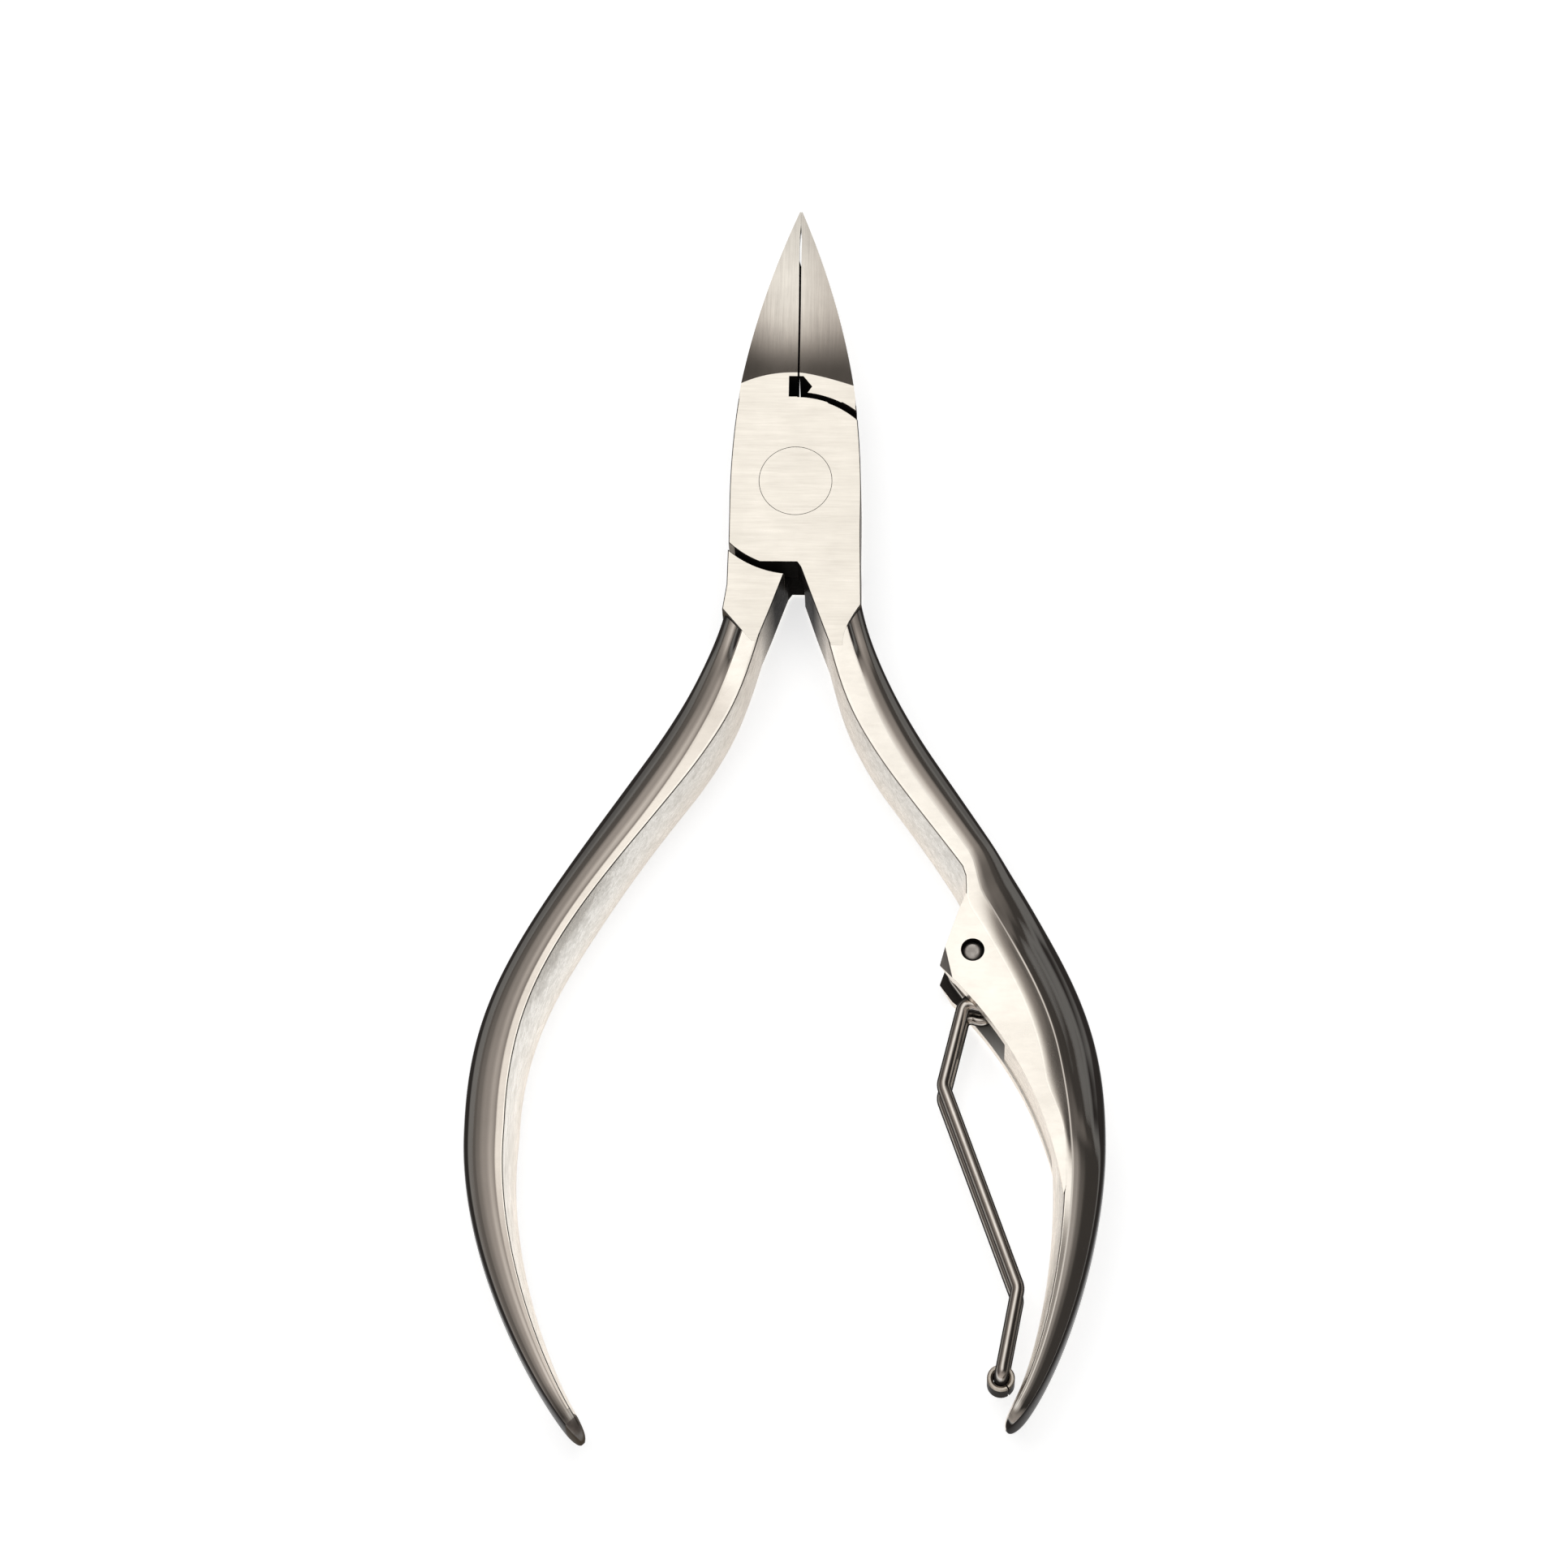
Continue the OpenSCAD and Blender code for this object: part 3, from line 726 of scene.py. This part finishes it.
def front_arm():
    head = arm_head("front_arm_forging", True)
    seat = RIVET_RADIUS + RIVET_SEAM
    cut(head, cylinder("rivet_seat", seat, THICKNESS - RIVET_HEAD, THICKNESS + 1))
    cut(head, cylinder("rivet_hole", SHANK_RADIUS, -1, THICKNESS + 1))
    soften(head, HEAD_BEVEL, chosen=outer_edge, clamped=False)
    finish_head(head)
    top = THICKNESS - EAR_STEP
    return welded(head, handle("right_handle", RIGHT_CURVES, RIGHT_LENGTH, eared=True),
                  ear("front_ear", top - EAR_THICKNESS - EAR_SUNK, top, 1),
                  ear("rear_ear", EAR_STEP + EAR_SUNK, EAR_STEP, -1), ear_web())


def rear_arm():
    head = arm_head("rear_arm_forging", False)
    turned = Matrix.Translation((0, 0, THICKNESS)) @ Matrix.Rotation(math.pi, 4, "Y")
    head.data.transform(turned)
    cut(head, cylinder("rivet_seat", RIVET_RADIUS + RIVET_PLAY, -1, RIVET_HEAD + RIVET_PLAY))
    cut(head, cylinder("rivet_hole", SHANK_RADIUS + RIVET_PLAY, -1, THICKNESS + 1))
    soften(head, HEAD_BEVEL, chosen=outer_edge, clamped=False)
    finish_head(head)
    return welded(head, handle("left_handle", LEFT_CURVES, LEFT_LENGTH, mirrored=True))


# Rivet, pin, spring and roller.

def flush_rivet():
    rivet = cylinder("flush_rivet", RIVET_RADIUS, 0.0, THICKNESS, vertices=128)
    for low, high in ((RIVET_HEAD, HALF), (HALF, THICKNESS - RIVET_HEAD)):
        ring = cylinder("waist", RIVET_RADIUS + 1, low, high, vertices=128)
        cut(ring, cylinder("shank", SHANK_RADIUS, low - 1, high + 1, vertices=128))
        cut(rivet, ring)
    soften(rivet, 0.02)
    return rivet


def spring_pin():
    sunk = 0.45
    pin = cylinder("seat_pin", PIN_RADIUS - 0.02, sunk, THICKNESS - sunk, PIN.x, PIN.y, 64)
    soften(pin, 0.5, angle=60, segments=8)
    return pin


def corner(a, b, c, radius, count):
    """Places and directions round a bend of the wire at b."""
    d, e = (b - a).normalized(), (c - b).normalized()
    side = 1 if d.x * e.y - d.y * e.x > 0 else -1
    bend = math.acos(max(-1, min(1, d.dot(e))))
    start = b - d * radius * math.tan(bend / 2)
    middle = start + side * radius * Vector((-d.y, d.x))
    turns = [Matrix.Rotation(side * bend * i / count, 2) for i in range(count + 1)]
    return [(middle + t @ (start - middle), t @ d) for t in turns]


def leg_path():
    """Places and directions of one leg of the wire, from its tail round the pin to the bar."""
    eye = PIN_RADIUS + 0.09 + WIRE_RADIUS
    heel = PIN + Vector((eye, -4.75))
    knee = Vector((15.5, heel.y + 0.64))
    elbow = Vector((13.7, -55.45))
    ankle = Vector((20.3, -73.45))
    bar = (ROLLER - ankle).normalized()
    around = []
    for degrees in spread(217, 0, 44):
        a = math.radians(degrees)
        around.append((PIN + eye * Vector((math.cos(a), math.sin(a))),
                       Vector((math.sin(a), -math.cos(a)))))
    tail, way = around[0]
    path = [(tail - f * way, way) for f in (1.6, 0.8)] + around
    path += corner(around[-1][0], heel, knee, 0.9, 14) + corner(heel, knee, elbow, 0.8, 14)
    path += corner(knee, elbow, ankle, 1.3, 12) + corner(elbow, ankle, ROLLER, 1.3, 10)
    path.append((ROLLER - BAR_BEND * bar, bar))
    return path, bar


def return_spring():
    """One wire: the front leg, the bar with its two bends, and the rear leg back to the pin."""
    path, bar = leg_path()
    up = Vector((0, 0, 1))
    line = [(Vector((p.x, p.y, LEG_FRONT)), Vector((-d.y, d.x, 0)), up) for p, d in path]
    across = Vector((-bar.y, bar.x, 0))
    along = Vector((bar.x, bar.y, 0))
    middle = Vector((ROLLER.x, ROLLER.y, 0))
    bends = [(degrees, LEG_FRONT - BAR_BEND) for degrees in spread(0, 90, 13)[1:]]
    bends += [(degrees, LEG_REAR + BAR_BEND) for degrees in spread(90, 180, 13)[:-1]]
    for degrees, height in bends:
        b = math.radians(degrees)
        line.append((middle + BAR_BEND * (math.sin(b) - 1) * along
                     + (height + BAR_BEND * math.cos(b)) * up,
                     across, math.cos(b) * up + math.sin(b) * along))
    line += [(Vector((p.x, p.y, LEG_REAR)), Vector((-d.y, d.x, 0)), -up) for p, d in reversed(path)]
    rounded = [(0.0, 0.6), (0.02, 0.85), (0.08, 1.0)]
    rings = []
    for i, (place, one, two) in enumerate(line):
        sizes = [(0.0, 1.0)]
        if i == 0:
            sizes = rounded
        elif i == len(line) - 1:
            sizes = [(-shift, size) for shift, size in reversed(rounded)]
        way = one.cross(two).normalized()
        if i + 1 < len(line) and way.dot(line[i + 1][0] - place) < 0:
            way = -way
        for shift, size in sizes:
            ring = []
            for k in range(WIRE_SIDES):
                a = 2 * math.pi * k / WIRE_SIDES
                out = math.cos(a) * one + math.sin(a) * two
                ring.append(place + shift * way + WIRE_RADIUS * size * out)
            rings.append(ring)
    spring = drawn_through("return_spring", rings)
    soften(spring, 0.001, angle=80, crisp=80)
    return spring


def rolled_sleeve():
    """A sheet rolled round the bar, with flared rims and an open seam."""
    bore = WIRE_RADIUS + 0.08
    flare = 0.22
    low, high = HALF - ROLLER_LENGTH / 2, HALF + ROLLER_LENGTH / 2
    lips = [(bore, low + flare), (bore + 0.4 * flare, low + 0.35 * flare), (bore + flare, low),
            (ROLLER_RADIUS - 0.12, low), (ROLLER_RADIUS - 0.03, low + 0.03),
            (ROLLER_RADIUS, low + 0.12)]
    profile = lips + [(r, low + high - z) for r, z in reversed(lips)]
    seam = math.radians(-55)
    opening = 0.06 / ROLLER_RADIUS
    rings = []
    for a in spread(seam + opening, seam + 2 * math.pi - opening, 65):
        rings.append([(ROLLER.x + r * math.cos(a), ROLLER.y + r * math.sin(a), z)
                      for r, z in profile])
    sleeve = drawn_through("rolled_sleeve", rings)
    soften(sleeve, 0.02, angle=60)
    return sleeve


# Finishes.

def wire_up(tree, node, socket, value):
    """Sets a socket to a value or joins an output to it."""
    target = node.inputs[socket]
    if isinstance(value, bpy.types.NodeSocket):
        tree.links.new(value, target)
    else:
        target.default_value = value


def add(tree, kind, settings=None, **sockets):
    node = tree.nodes.new(kind)
    for key, value in (settings or {}).items():
        setattr(node, key, value)
    for key, value in sockets.items():
        wire_up(tree, node, key.replace("_", " "), value)
    return node


def calc(tree, operation, *values):
    """One step of arithmetic on values and outputs."""
    node = add(tree, "ShaderNodeMath", {"operation": operation})
    for i, value in enumerate(values):
        wire_up(tree, node, i, value)
    return node.outputs[0]


def new_effect(name, inputs, outputs):
    """An empty node group with named sockets."""
    tree = bpy.data.node_groups.new(name, "ShaderNodeTree")
    for label, kind, value in inputs:
        socket = tree.interface.new_socket(label, in_out="INPUT", socket_type=kind)
        if value is not None:
            socket.default_value = value
    for label, kind in outputs:
        tree.interface.new_socket(label, in_out="OUTPUT", socket_type=kind)
    return tree, tree.nodes.new("NodeGroupInput"), tree.nodes.new("NodeGroupOutput")


def spread_of(tree, value, low, high, first, last):
    """A range of a value, clamped, mapped to another range."""
    node = add(tree, "ShaderNodeMapRange", {"clamp": True}, Value=value,
               From_Min=low, From_Max=high, To_Min=first, To_Max=last)
    return node.outputs["Result"]


def brush_effect():
    """Lines of a belt or brush, coarse and fine, stretched by the grain."""
    tree, source, sink = new_effect("brush_lines", [
        ("Vector", "NodeSocketVector", None), ("Grain", "NodeSocketVector", (1.0, 1.0, 1.0))],
        [("Lines", "NodeSocketFloat")])
    grain = add(tree, "ShaderNodeMapping", Vector=source.outputs["Vector"],
                Scale=source.outputs["Grain"]).outputs["Vector"]
    lines = add(tree, "ShaderNodeTexNoise", Vector=grain, Scale=1.0, Detail=4.0, Roughness=0.7)
    coarse = add(tree, "ShaderNodeTexNoise", Vector=grain, Scale=0.31, Detail=2.0, Roughness=0.6)
    part = calc(tree, "MULTIPLY", coarse.outputs["Fac"], 0.4)
    wire_up(tree, sink, "Lines", calc(tree, "MULTIPLY_ADD", lines.outputs["Fac"], 0.6, part))
    return tree


def handling_effect():
    """Cloudy patches and small nicks of a tool that has been handled."""
    tree, source, sink = new_effect("handling_marks", [
        ("Vector", "NodeSocketVector", None), ("Patch Scale", "NodeSocketFloat", 220.0)],
        [("Patches", "NodeSocketFloat"), ("Nicks", "NodeSocketFloat")])
    place = source.outputs["Vector"]
    patches = add(tree, "ShaderNodeTexNoise", Vector=place, Scale=source.outputs["Patch Scale"],
                  Detail=5.0, Roughness=0.62)
    nicks = add(tree, "ShaderNodeTexNoise", Vector=place, Scale=1900.0, Detail=2.0, Roughness=0.5)
    wire_up(tree, sink, "Patches", spread_of(tree, patches.outputs["Fac"], 0.3, 0.7, 0.0, 1.0))
    wire_up(tree, sink, "Nicks", spread_of(tree, nicks.outputs["Fac"], 0.7, 0.78, 0.0, 1.0))
    return tree


BRUSH = brush_effect()
HANDLING = handling_effect()


def blend(tree, share, first, second):
    """A colour between two colours."""
    node = add(tree, "ShaderNodeMix", {"data_type": "RGBA"})
    for socket, value in ((0, share), (6, first), (7, second)):
        wire_up(tree, node, socket, value)
    return node.outputs[2]


# Colour of painted shade, which the crotch, the pocket and grazing rims are blended towards.
SHADE_COLOUR = (0.05, 0.043, 0.039, 1)


def steel(name, light, deep, grain, gloss, bump, line_share=0.6, patch_scale=220.0, wave=0.0,
          rim=0.25, nicks=0.3, metal=1.0, painted_shade=None, fade=None, edge=None):
    """A steel finish: colour and gloss follow the brush lines and the marks of handling.

    fade scales the colour along the piece, as painted shade at the crotch and the ends; grime
    paints it towards black along the piece, and edge towards grazing view, both as painted shade.
    """
    material = bpy.data.materials.new(name)
    material.use_nodes = True
    tree = material.node_tree
    shader = tree.nodes["Principled BSDF"]
    shader.inputs["Metallic"].default_value = metal
    shader.inputs["Specular IOR Level"].default_value = 0.002
    shader.inputs["Specular Tint"].default_value = (rim, 0.93 * rim, 0.86 * rim, 1)
    place = add(tree, "ShaderNodeTexCoord").outputs["Object"]
    brush = add(tree, "ShaderNodeGroup", {"node_tree": BRUSH}, Vector=place, Grain=grain)
    marks = add(tree, "ShaderNodeGroup", {"node_tree": HANDLING}, Vector=place,
                Patch_Scale=patch_scale)
    lines = spread_of(tree, brush.outputs["Lines"], 0.35, 0.65, 0.0, 1.0)
    mixed = add(tree, "ShaderNodeMix", {"data_type": "FLOAT"})
    for socket, value in ((0, 1 - line_share), (2, lines), (3, marks.outputs["Patches"])):
        wire_up(tree, mixed, socket, value)
    tone = mixed.outputs[0]
    paint = blend(tree, tone, (*deep, 1), (*light, 1))
    along = add(tree, "ShaderNodeSeparateXYZ", Vector=place).outputs["Y"]
    unshaded = None
    # Painted shade: the colour is scaled along the piece.
    if fade:
        shaded_along = add(tree, "ShaderNodeVectorMath", {"operation": "SCALE"}, Vector=paint,
                    Scale=spread_of(tree, along, *fade))
        paint = shaded_along.outputs[0]
    # Painted shade: towards black along the piece, at the crotch and by the eye of the wire.
    if painted_shade:
        unshaded = spread_of(tree, along, *painted_shade, 0.0, 1.0)
    # Painted shade: towards black where the surface is seen at a grazing angle.
    if edge:
        facing = add(tree, "ShaderNodeLayerWeight", Blend=0.5).outputs["Facing"]
        unshaded = spread_of(tree, facing, *edge, 1.0, 0.0)
    if unshaded:
        paint = blend(tree, unshaded, SHADE_COLOUR, paint)
        wire_up(tree, shader, "Metallic", spread_of(tree, unshaded, 0.0, 1.0, 0.0, metal))
    wire_up(tree, shader, "Base Color", paint)
    wire_up(tree, shader, "Roughness", spread_of(tree, tone, 0.0, 1.0, gloss[1], gloss[0]))
    height = calc(tree, "MULTIPLY_ADD", marks.outputs["Nicks"], -nicks, brush.outputs["Lines"])
    relief = add(tree, "ShaderNodeBump", Strength=bump[0], Distance=bump[1], Height=height)
    if wave:
        swell = add(tree, "ShaderNodeTexNoise", Vector=place, Scale=150.0, Detail=1.0)
        under = add(tree, "ShaderNodeBump", Strength=1.0, Distance=wave,
                    Height=swell.outputs["Fac"])
        wire_up(tree, relief, "Normal", under.outputs["Normal"])
    wire_up(tree, shader, "Normal", relief.outputs["Normal"])
    return material


JOINT_SATIN = steel(
    "joint_satin", (0.84, 0.80, 0.73), (0.72, 0.685, 0.62), (350, 7000, 350),
    gloss=(0.26, 0.36), bump=(0.2, 0.00002))
# Painted shade: the jaws get darker towards their tips.
JAW_BRUSHED = steel(
    "jaw_brushed", (0.59, 0.56, 0.51), (0.43, 0.405, 0.37), (7000, 200, 800),
    gloss=(0.1, 0.18), bump=(0.2, 0.00001), fade=(0.016, 0.027, 1.0, 0.8))
# Painted shade: dark towards grazing view and at the ends of the handles.
HANDLE_POLISH = steel(
    "handle_polish", (0.87, 0.84, 0.785), (0.77, 0.74, 0.685), (700, 500, 700),
    gloss=(0.08, 0.14), bump=(0.04, 0.00001), line_share=0.3, patch_scale=160.0, wave=0.000003,
    nicks=0.0, edge=(0.22, 0.31), fade=(-0.0825, -0.0862, 1.0, 0.25))
BAND_SATIN = steel(
    "band_satin", (0.86, 0.82, 0.755), (0.75, 0.715, 0.655), (600, 1500, 600),
    gloss=(0.2, 0.3), bump=(0.08, 0.00001), line_share=0.4, patch_scale=160.0, nicks=0.0,
    fade=(-0.026, -0.04, 1.0, 1.1))
# Painted shade: black at the crotch, then darker down to 52 mm below the pivot.
WALL_SATIN = steel(
    "wall_satin", (0.95, 0.925, 0.88), (0.66, 0.635, 0.59), (5200, 700, 6400),
    gloss=(0.2, 0.4), bump=(0.25, 0.00002), line_share=0.85, patch_scale=350.0, rim=1.0,
    painted_shade=(-0.0112, -0.0150), fade=(-0.015, -0.052, 0.72, 1.0))
# Painted shade: black by the eye of the wire, under the ears.
POCKET_SATIN = steel(
    "pocket_satin", (0.97, 0.95, 0.91), (0.85, 0.83, 0.79), (5200, 700, 6400),
    gloss=(0.3, 0.5), bump=(0.2, 0.00002), line_share=0.85, patch_scale=350.0, rim=1.0,
    metal=0.3, painted_shade=(-0.0465, -0.053))
# A darker copy of the steel: painted shade on side walls and along the inner wall's edge.
SIDE_SHADED = steel(
    "side_shade", (0.52, 0.495, 0.46), (0.36, 0.34, 0.315), (2500, 400, 2500),
    gloss=(0.2, 0.34), bump=(0.2, 0.00002))
# Near black and not metal: painted shade in the lap gap, slit, notch, rivet seat and pin hole.
SHADE_BLACK = steel(
    "black_gap_shade", (0.035, 0.031, 0.028), (0.012, 0.011, 0.010), (2500, 400, 2500),
    gloss=(0.5, 0.7), bump=(0.2, 0.00002), metal=0.0)
# Dark steel: painted shade on rims, boss ends, the ears' slanted cuts and the left handle's end.
SHADE_STEEL_DARK = steel(
    "rim_shade_dark", (0.2, 0.185, 0.17), (0.1, 0.092, 0.085), (2500, 400, 2500),
    gloss=(0.25, 0.4), bump=(0.2, 0.00002))
# Painted shade: dark towards grazing view.
WIRE_BRIGHT = steel(
    "wire_bright", (0.66, 0.625, 0.58), (0.48, 0.45, 0.415), (1500, 700, 1500),
    gloss=(0.07, 0.14), bump=(0.1, 0.00001), edge=(0.28, 0.5))
# Painted shade: dark towards grazing view.
SLEEVE_ROLLED = steel(
    "sleeve_rolled", (0.54, 0.49, 0.43), (0.32, 0.285, 0.245), (1500, 1500, 3000),
    gloss=(0.16, 0.3), bump=(0.2, 0.00002), edge=(0.45, 0.75))
PIN_DULL = steel(
    "pin_dull", (0.55, 0.52, 0.49), (0.24, 0.225, 0.21), (1500, 1500, 1500),
    gloss=(0.3, 0.5), bump=(0.3, 0.00002))


def dress(piece, *materials):
    for material in materials:
        piece.data.materials.append(material)
    return piece


ARM_FINISHES = (JOINT_SATIN, JAW_BRUSHED, HANDLE_POLISH, WALL_SATIN, SIDE_SHADED, SHADE_BLACK,
                SHADE_STEEL_DARK, BAND_SATIN, POCKET_SATIN)
hand_over(front_arm(), "front_half", "arm_steel", "front_arm")
hand_over(rear_arm(), "rear_half", "arm_steel", "rear_arm")
hand_over(dress(flush_rivet(), JOINT_SATIN), "front_half", "rivet_steel", "pivot_rivet")
hand_over(dress(spring_pin(), PIN_DULL), "front_half", "pin_steel", "spring_pin")
hand_over(dress(return_spring(), WIRE_BRIGHT), "spring", "spring_steel", "wire_spring")
hand_over(dress(rolled_sleeve(), SLEEVE_ROLLED), "roller", "roller_steel", "spring_roller")


# Camera.

def stand_camera():
    """The camera of the photograph: right, upward and back are its own axes."""
    data = bpy.data.cameras.new("camera")
    data.lens = 155.84
    data.sensor_width = 36.0
    camera = bpy.data.objects.new("camera", data)
    bpy.context.scene.collection.objects.link(camera)
    right = Vector((0.999645, 0.017517, -0.020056))
    upward = Vector((-0.009918, 0.943907, 0.330062))
    back = Vector((0.024713, -0.329746, 0.943746))
    turn = Matrix((right, upward, back)).transposed().to_4x4()
    place = Vector((0.0141937, -0.2250246, 0.5704477))
    camera.matrix_world = Matrix.Translation(place) @ turn
    bpy.context.scene.camera = camera


# Floor, light and surroundings.

def seen_or_mirrored(tree):
    """One for rays from the camera and for mirrored or refracted ones."""
    path = tree.nodes.new("ShaderNodeLightPath").outputs
    also = calc(tree, "MAXIMUM", path["Is Glossy Ray"], path["Is Transmission Ray"])
    return calc(tree, "MAXIMUM", path["Is Camera Ray"], also)


def stage_piece(piece, name, material_name):
    """A piece of the surroundings with an empty material: its nodes and their output."""
    piece.name = name
    material = bpy.data.materials.new(material_name)
    material.use_nodes = True
    piece.data.materials.append(material)
    material.node_tree.nodes.clear()
    return material.node_tree, material.node_tree.nodes.new("ShaderNodeOutputMaterial")


def lay_floor():
    let_go()
    bpy.ops.mesh.primitive_plane_add(size=6, location=(0, 0, -0.0002))
    floor = bpy.context.object
    tree, out = stage_piece(floor, "floor", "floor_white")
    paint = add(tree, "ShaderNodeBsdfDiffuse", Color=(0.8, 0.8, 0.8, 1))
    glow = add(tree, "ShaderNodeEmission", Color=(1, 1, 1, 1),
               Strength=calc(tree, "MULTIPLY", seen_or_mirrored(tree), 0.66))
    both = tree.nodes.new("ShaderNodeAddShader")
    wire_up(tree, both, 0, paint.outputs[0])
    wire_up(tree, both, 1, glow.outputs[0])
    wire_up(tree, out, "Surface", both.outputs[0])


def studio_tent():
    """A dome that only reflections see: soft light overhead, grey left side, dark right side."""
    let_go()
    bpy.ops.mesh.primitive_uv_sphere_add(segments=64, ring_count=32, radius=2.0, location=(0, 0, 0))
    tent = bpy.context.object
    tree, out = stage_piece(tent, "studio_tent", "tent_light")
    tent.visible_camera = False
    tent.visible_diffuse = False
    tent.visible_shadow = False
    tent.visible_transmission = False
    place = add(tree, "ShaderNodeTexCoord").outputs["Object"]
    way = add(tree, "ShaderNodeVectorMath", {"operation": "NORMALIZE"}, Vector=place)
    parts = add(tree, "ShaderNodeSeparateXYZ", Vector=way.outputs[0]).outputs
    x, y, z = parts["X"], parts["Y"], parts["Z"]

    # The soft box, by its place on a ceiling at height one.
    high = calc(tree, "MAXIMUM", z, 0.02)
    px = calc(tree, "ADD", calc(tree, "DIVIDE", x, high), 0.08)
    py = calc(tree, "SUBTRACT", calc(tree, "DIVIDE", y, high), 0.36)
    rx = calc(tree, "POWER", calc(tree, "ABSOLUTE", calc(tree, "DIVIDE", px, 0.38)), 2.4)
    ry = calc(tree, "POWER", calc(tree, "ABSOLUTE", calc(tree, "DIVIDE", py, 1.03)), 6.0)
    fade = calc(tree, "POWER", 2.718, calc(tree, "MULTIPLY", calc(tree, "ADD", rx, ry), -1.0))
    soft_box = calc(tree, "MULTIPLY", fade, spread_of(tree, py, 0.1, 0.5, 1.2, 1.36))

    # The walls, lighter low down on the left and high up on the left and ahead.
    left = spread_of(tree, x, -0.35, 0.05, 1.0, 0.0)
    ahead = spread_of(tree, y, 0.35, 0.65, 0.0, 1.0)
    haze = calc(tree, "ADD", spread_of(tree, ahead, 0.0, 1.0, 0.08, 0.015),
                spread_of(tree, z, 0.1, 0.28, 0.2, 0.0))
    climb = calc(tree, "ADD", spread_of(tree, z, 0.5, 0.6, 0.0, 0.22),
                 spread_of(tree, z, 0.6, 0.88, 0.0, 0.3))
    glow_up = calc(tree, "MULTIPLY", climb,
                   calc(tree, "MAXIMUM", calc(tree, "MULTIPLY", left, 0.54), ahead))
    low_wall = calc(tree, "ADD", calc(tree, "MULTIPLY", left, haze),
                    spread_of(tree, ahead, 0.0, 1.0, 0.045, 0.055))
    wall = calc(tree, "ADD", low_wall, glow_up)
    near = spread_of(tree, y, -0.5, -0.95, 0.0, 0.6)
    far = spread_of(tree, y, 0.85, 0.97, 0.0, 0.35)
    total = calc(tree, "ADD", calc(tree, "ADD", soft_box, wall), calc(tree, "ADD", near, far))
    tint = blend(tree, fade, (1.0, 0.90, 0.84, 1), (1.0, 0.99, 0.97, 1))
    glow = add(tree, "ShaderNodeEmission", Color=tint, Strength=total)
    wire_up(tree, out, "Surface", glow.outputs[0])


def hang_lamp():
    data = bpy.data.lights.new("overhead_lamp", "AREA")
    data.shape = "DISK"
    data.size = 0.9
    data.energy = 3.0
    lamp = bpy.data.objects.new("overhead_lamp", data)
    lamp.location = (-0.1, 0.1, 0.9)
    lamp.visible_glossy = False
    bpy.context.scene.collection.objects.link(lamp)


def light_world():
    """White where it is seen or mirrored, and a low even light on the floor."""
    world = bpy.data.worlds.new("pale_room")
    bpy.context.scene.world = world
    world.use_nodes = True
    tree = world.node_tree
    background = tree.nodes["Background"]
    background.inputs["Color"].default_value = (1, 1, 1, 1)
    wire_up(tree, background, "Strength",
            spread_of(tree, seen_or_mirrored(tree), 0.0, 1.0, 0.25, 1.0))


stand_camera()
lay_floor()
studio_tent()
hang_lamp()
light_world()
bpy.context.scene.view_settings.view_transform = "Standard"
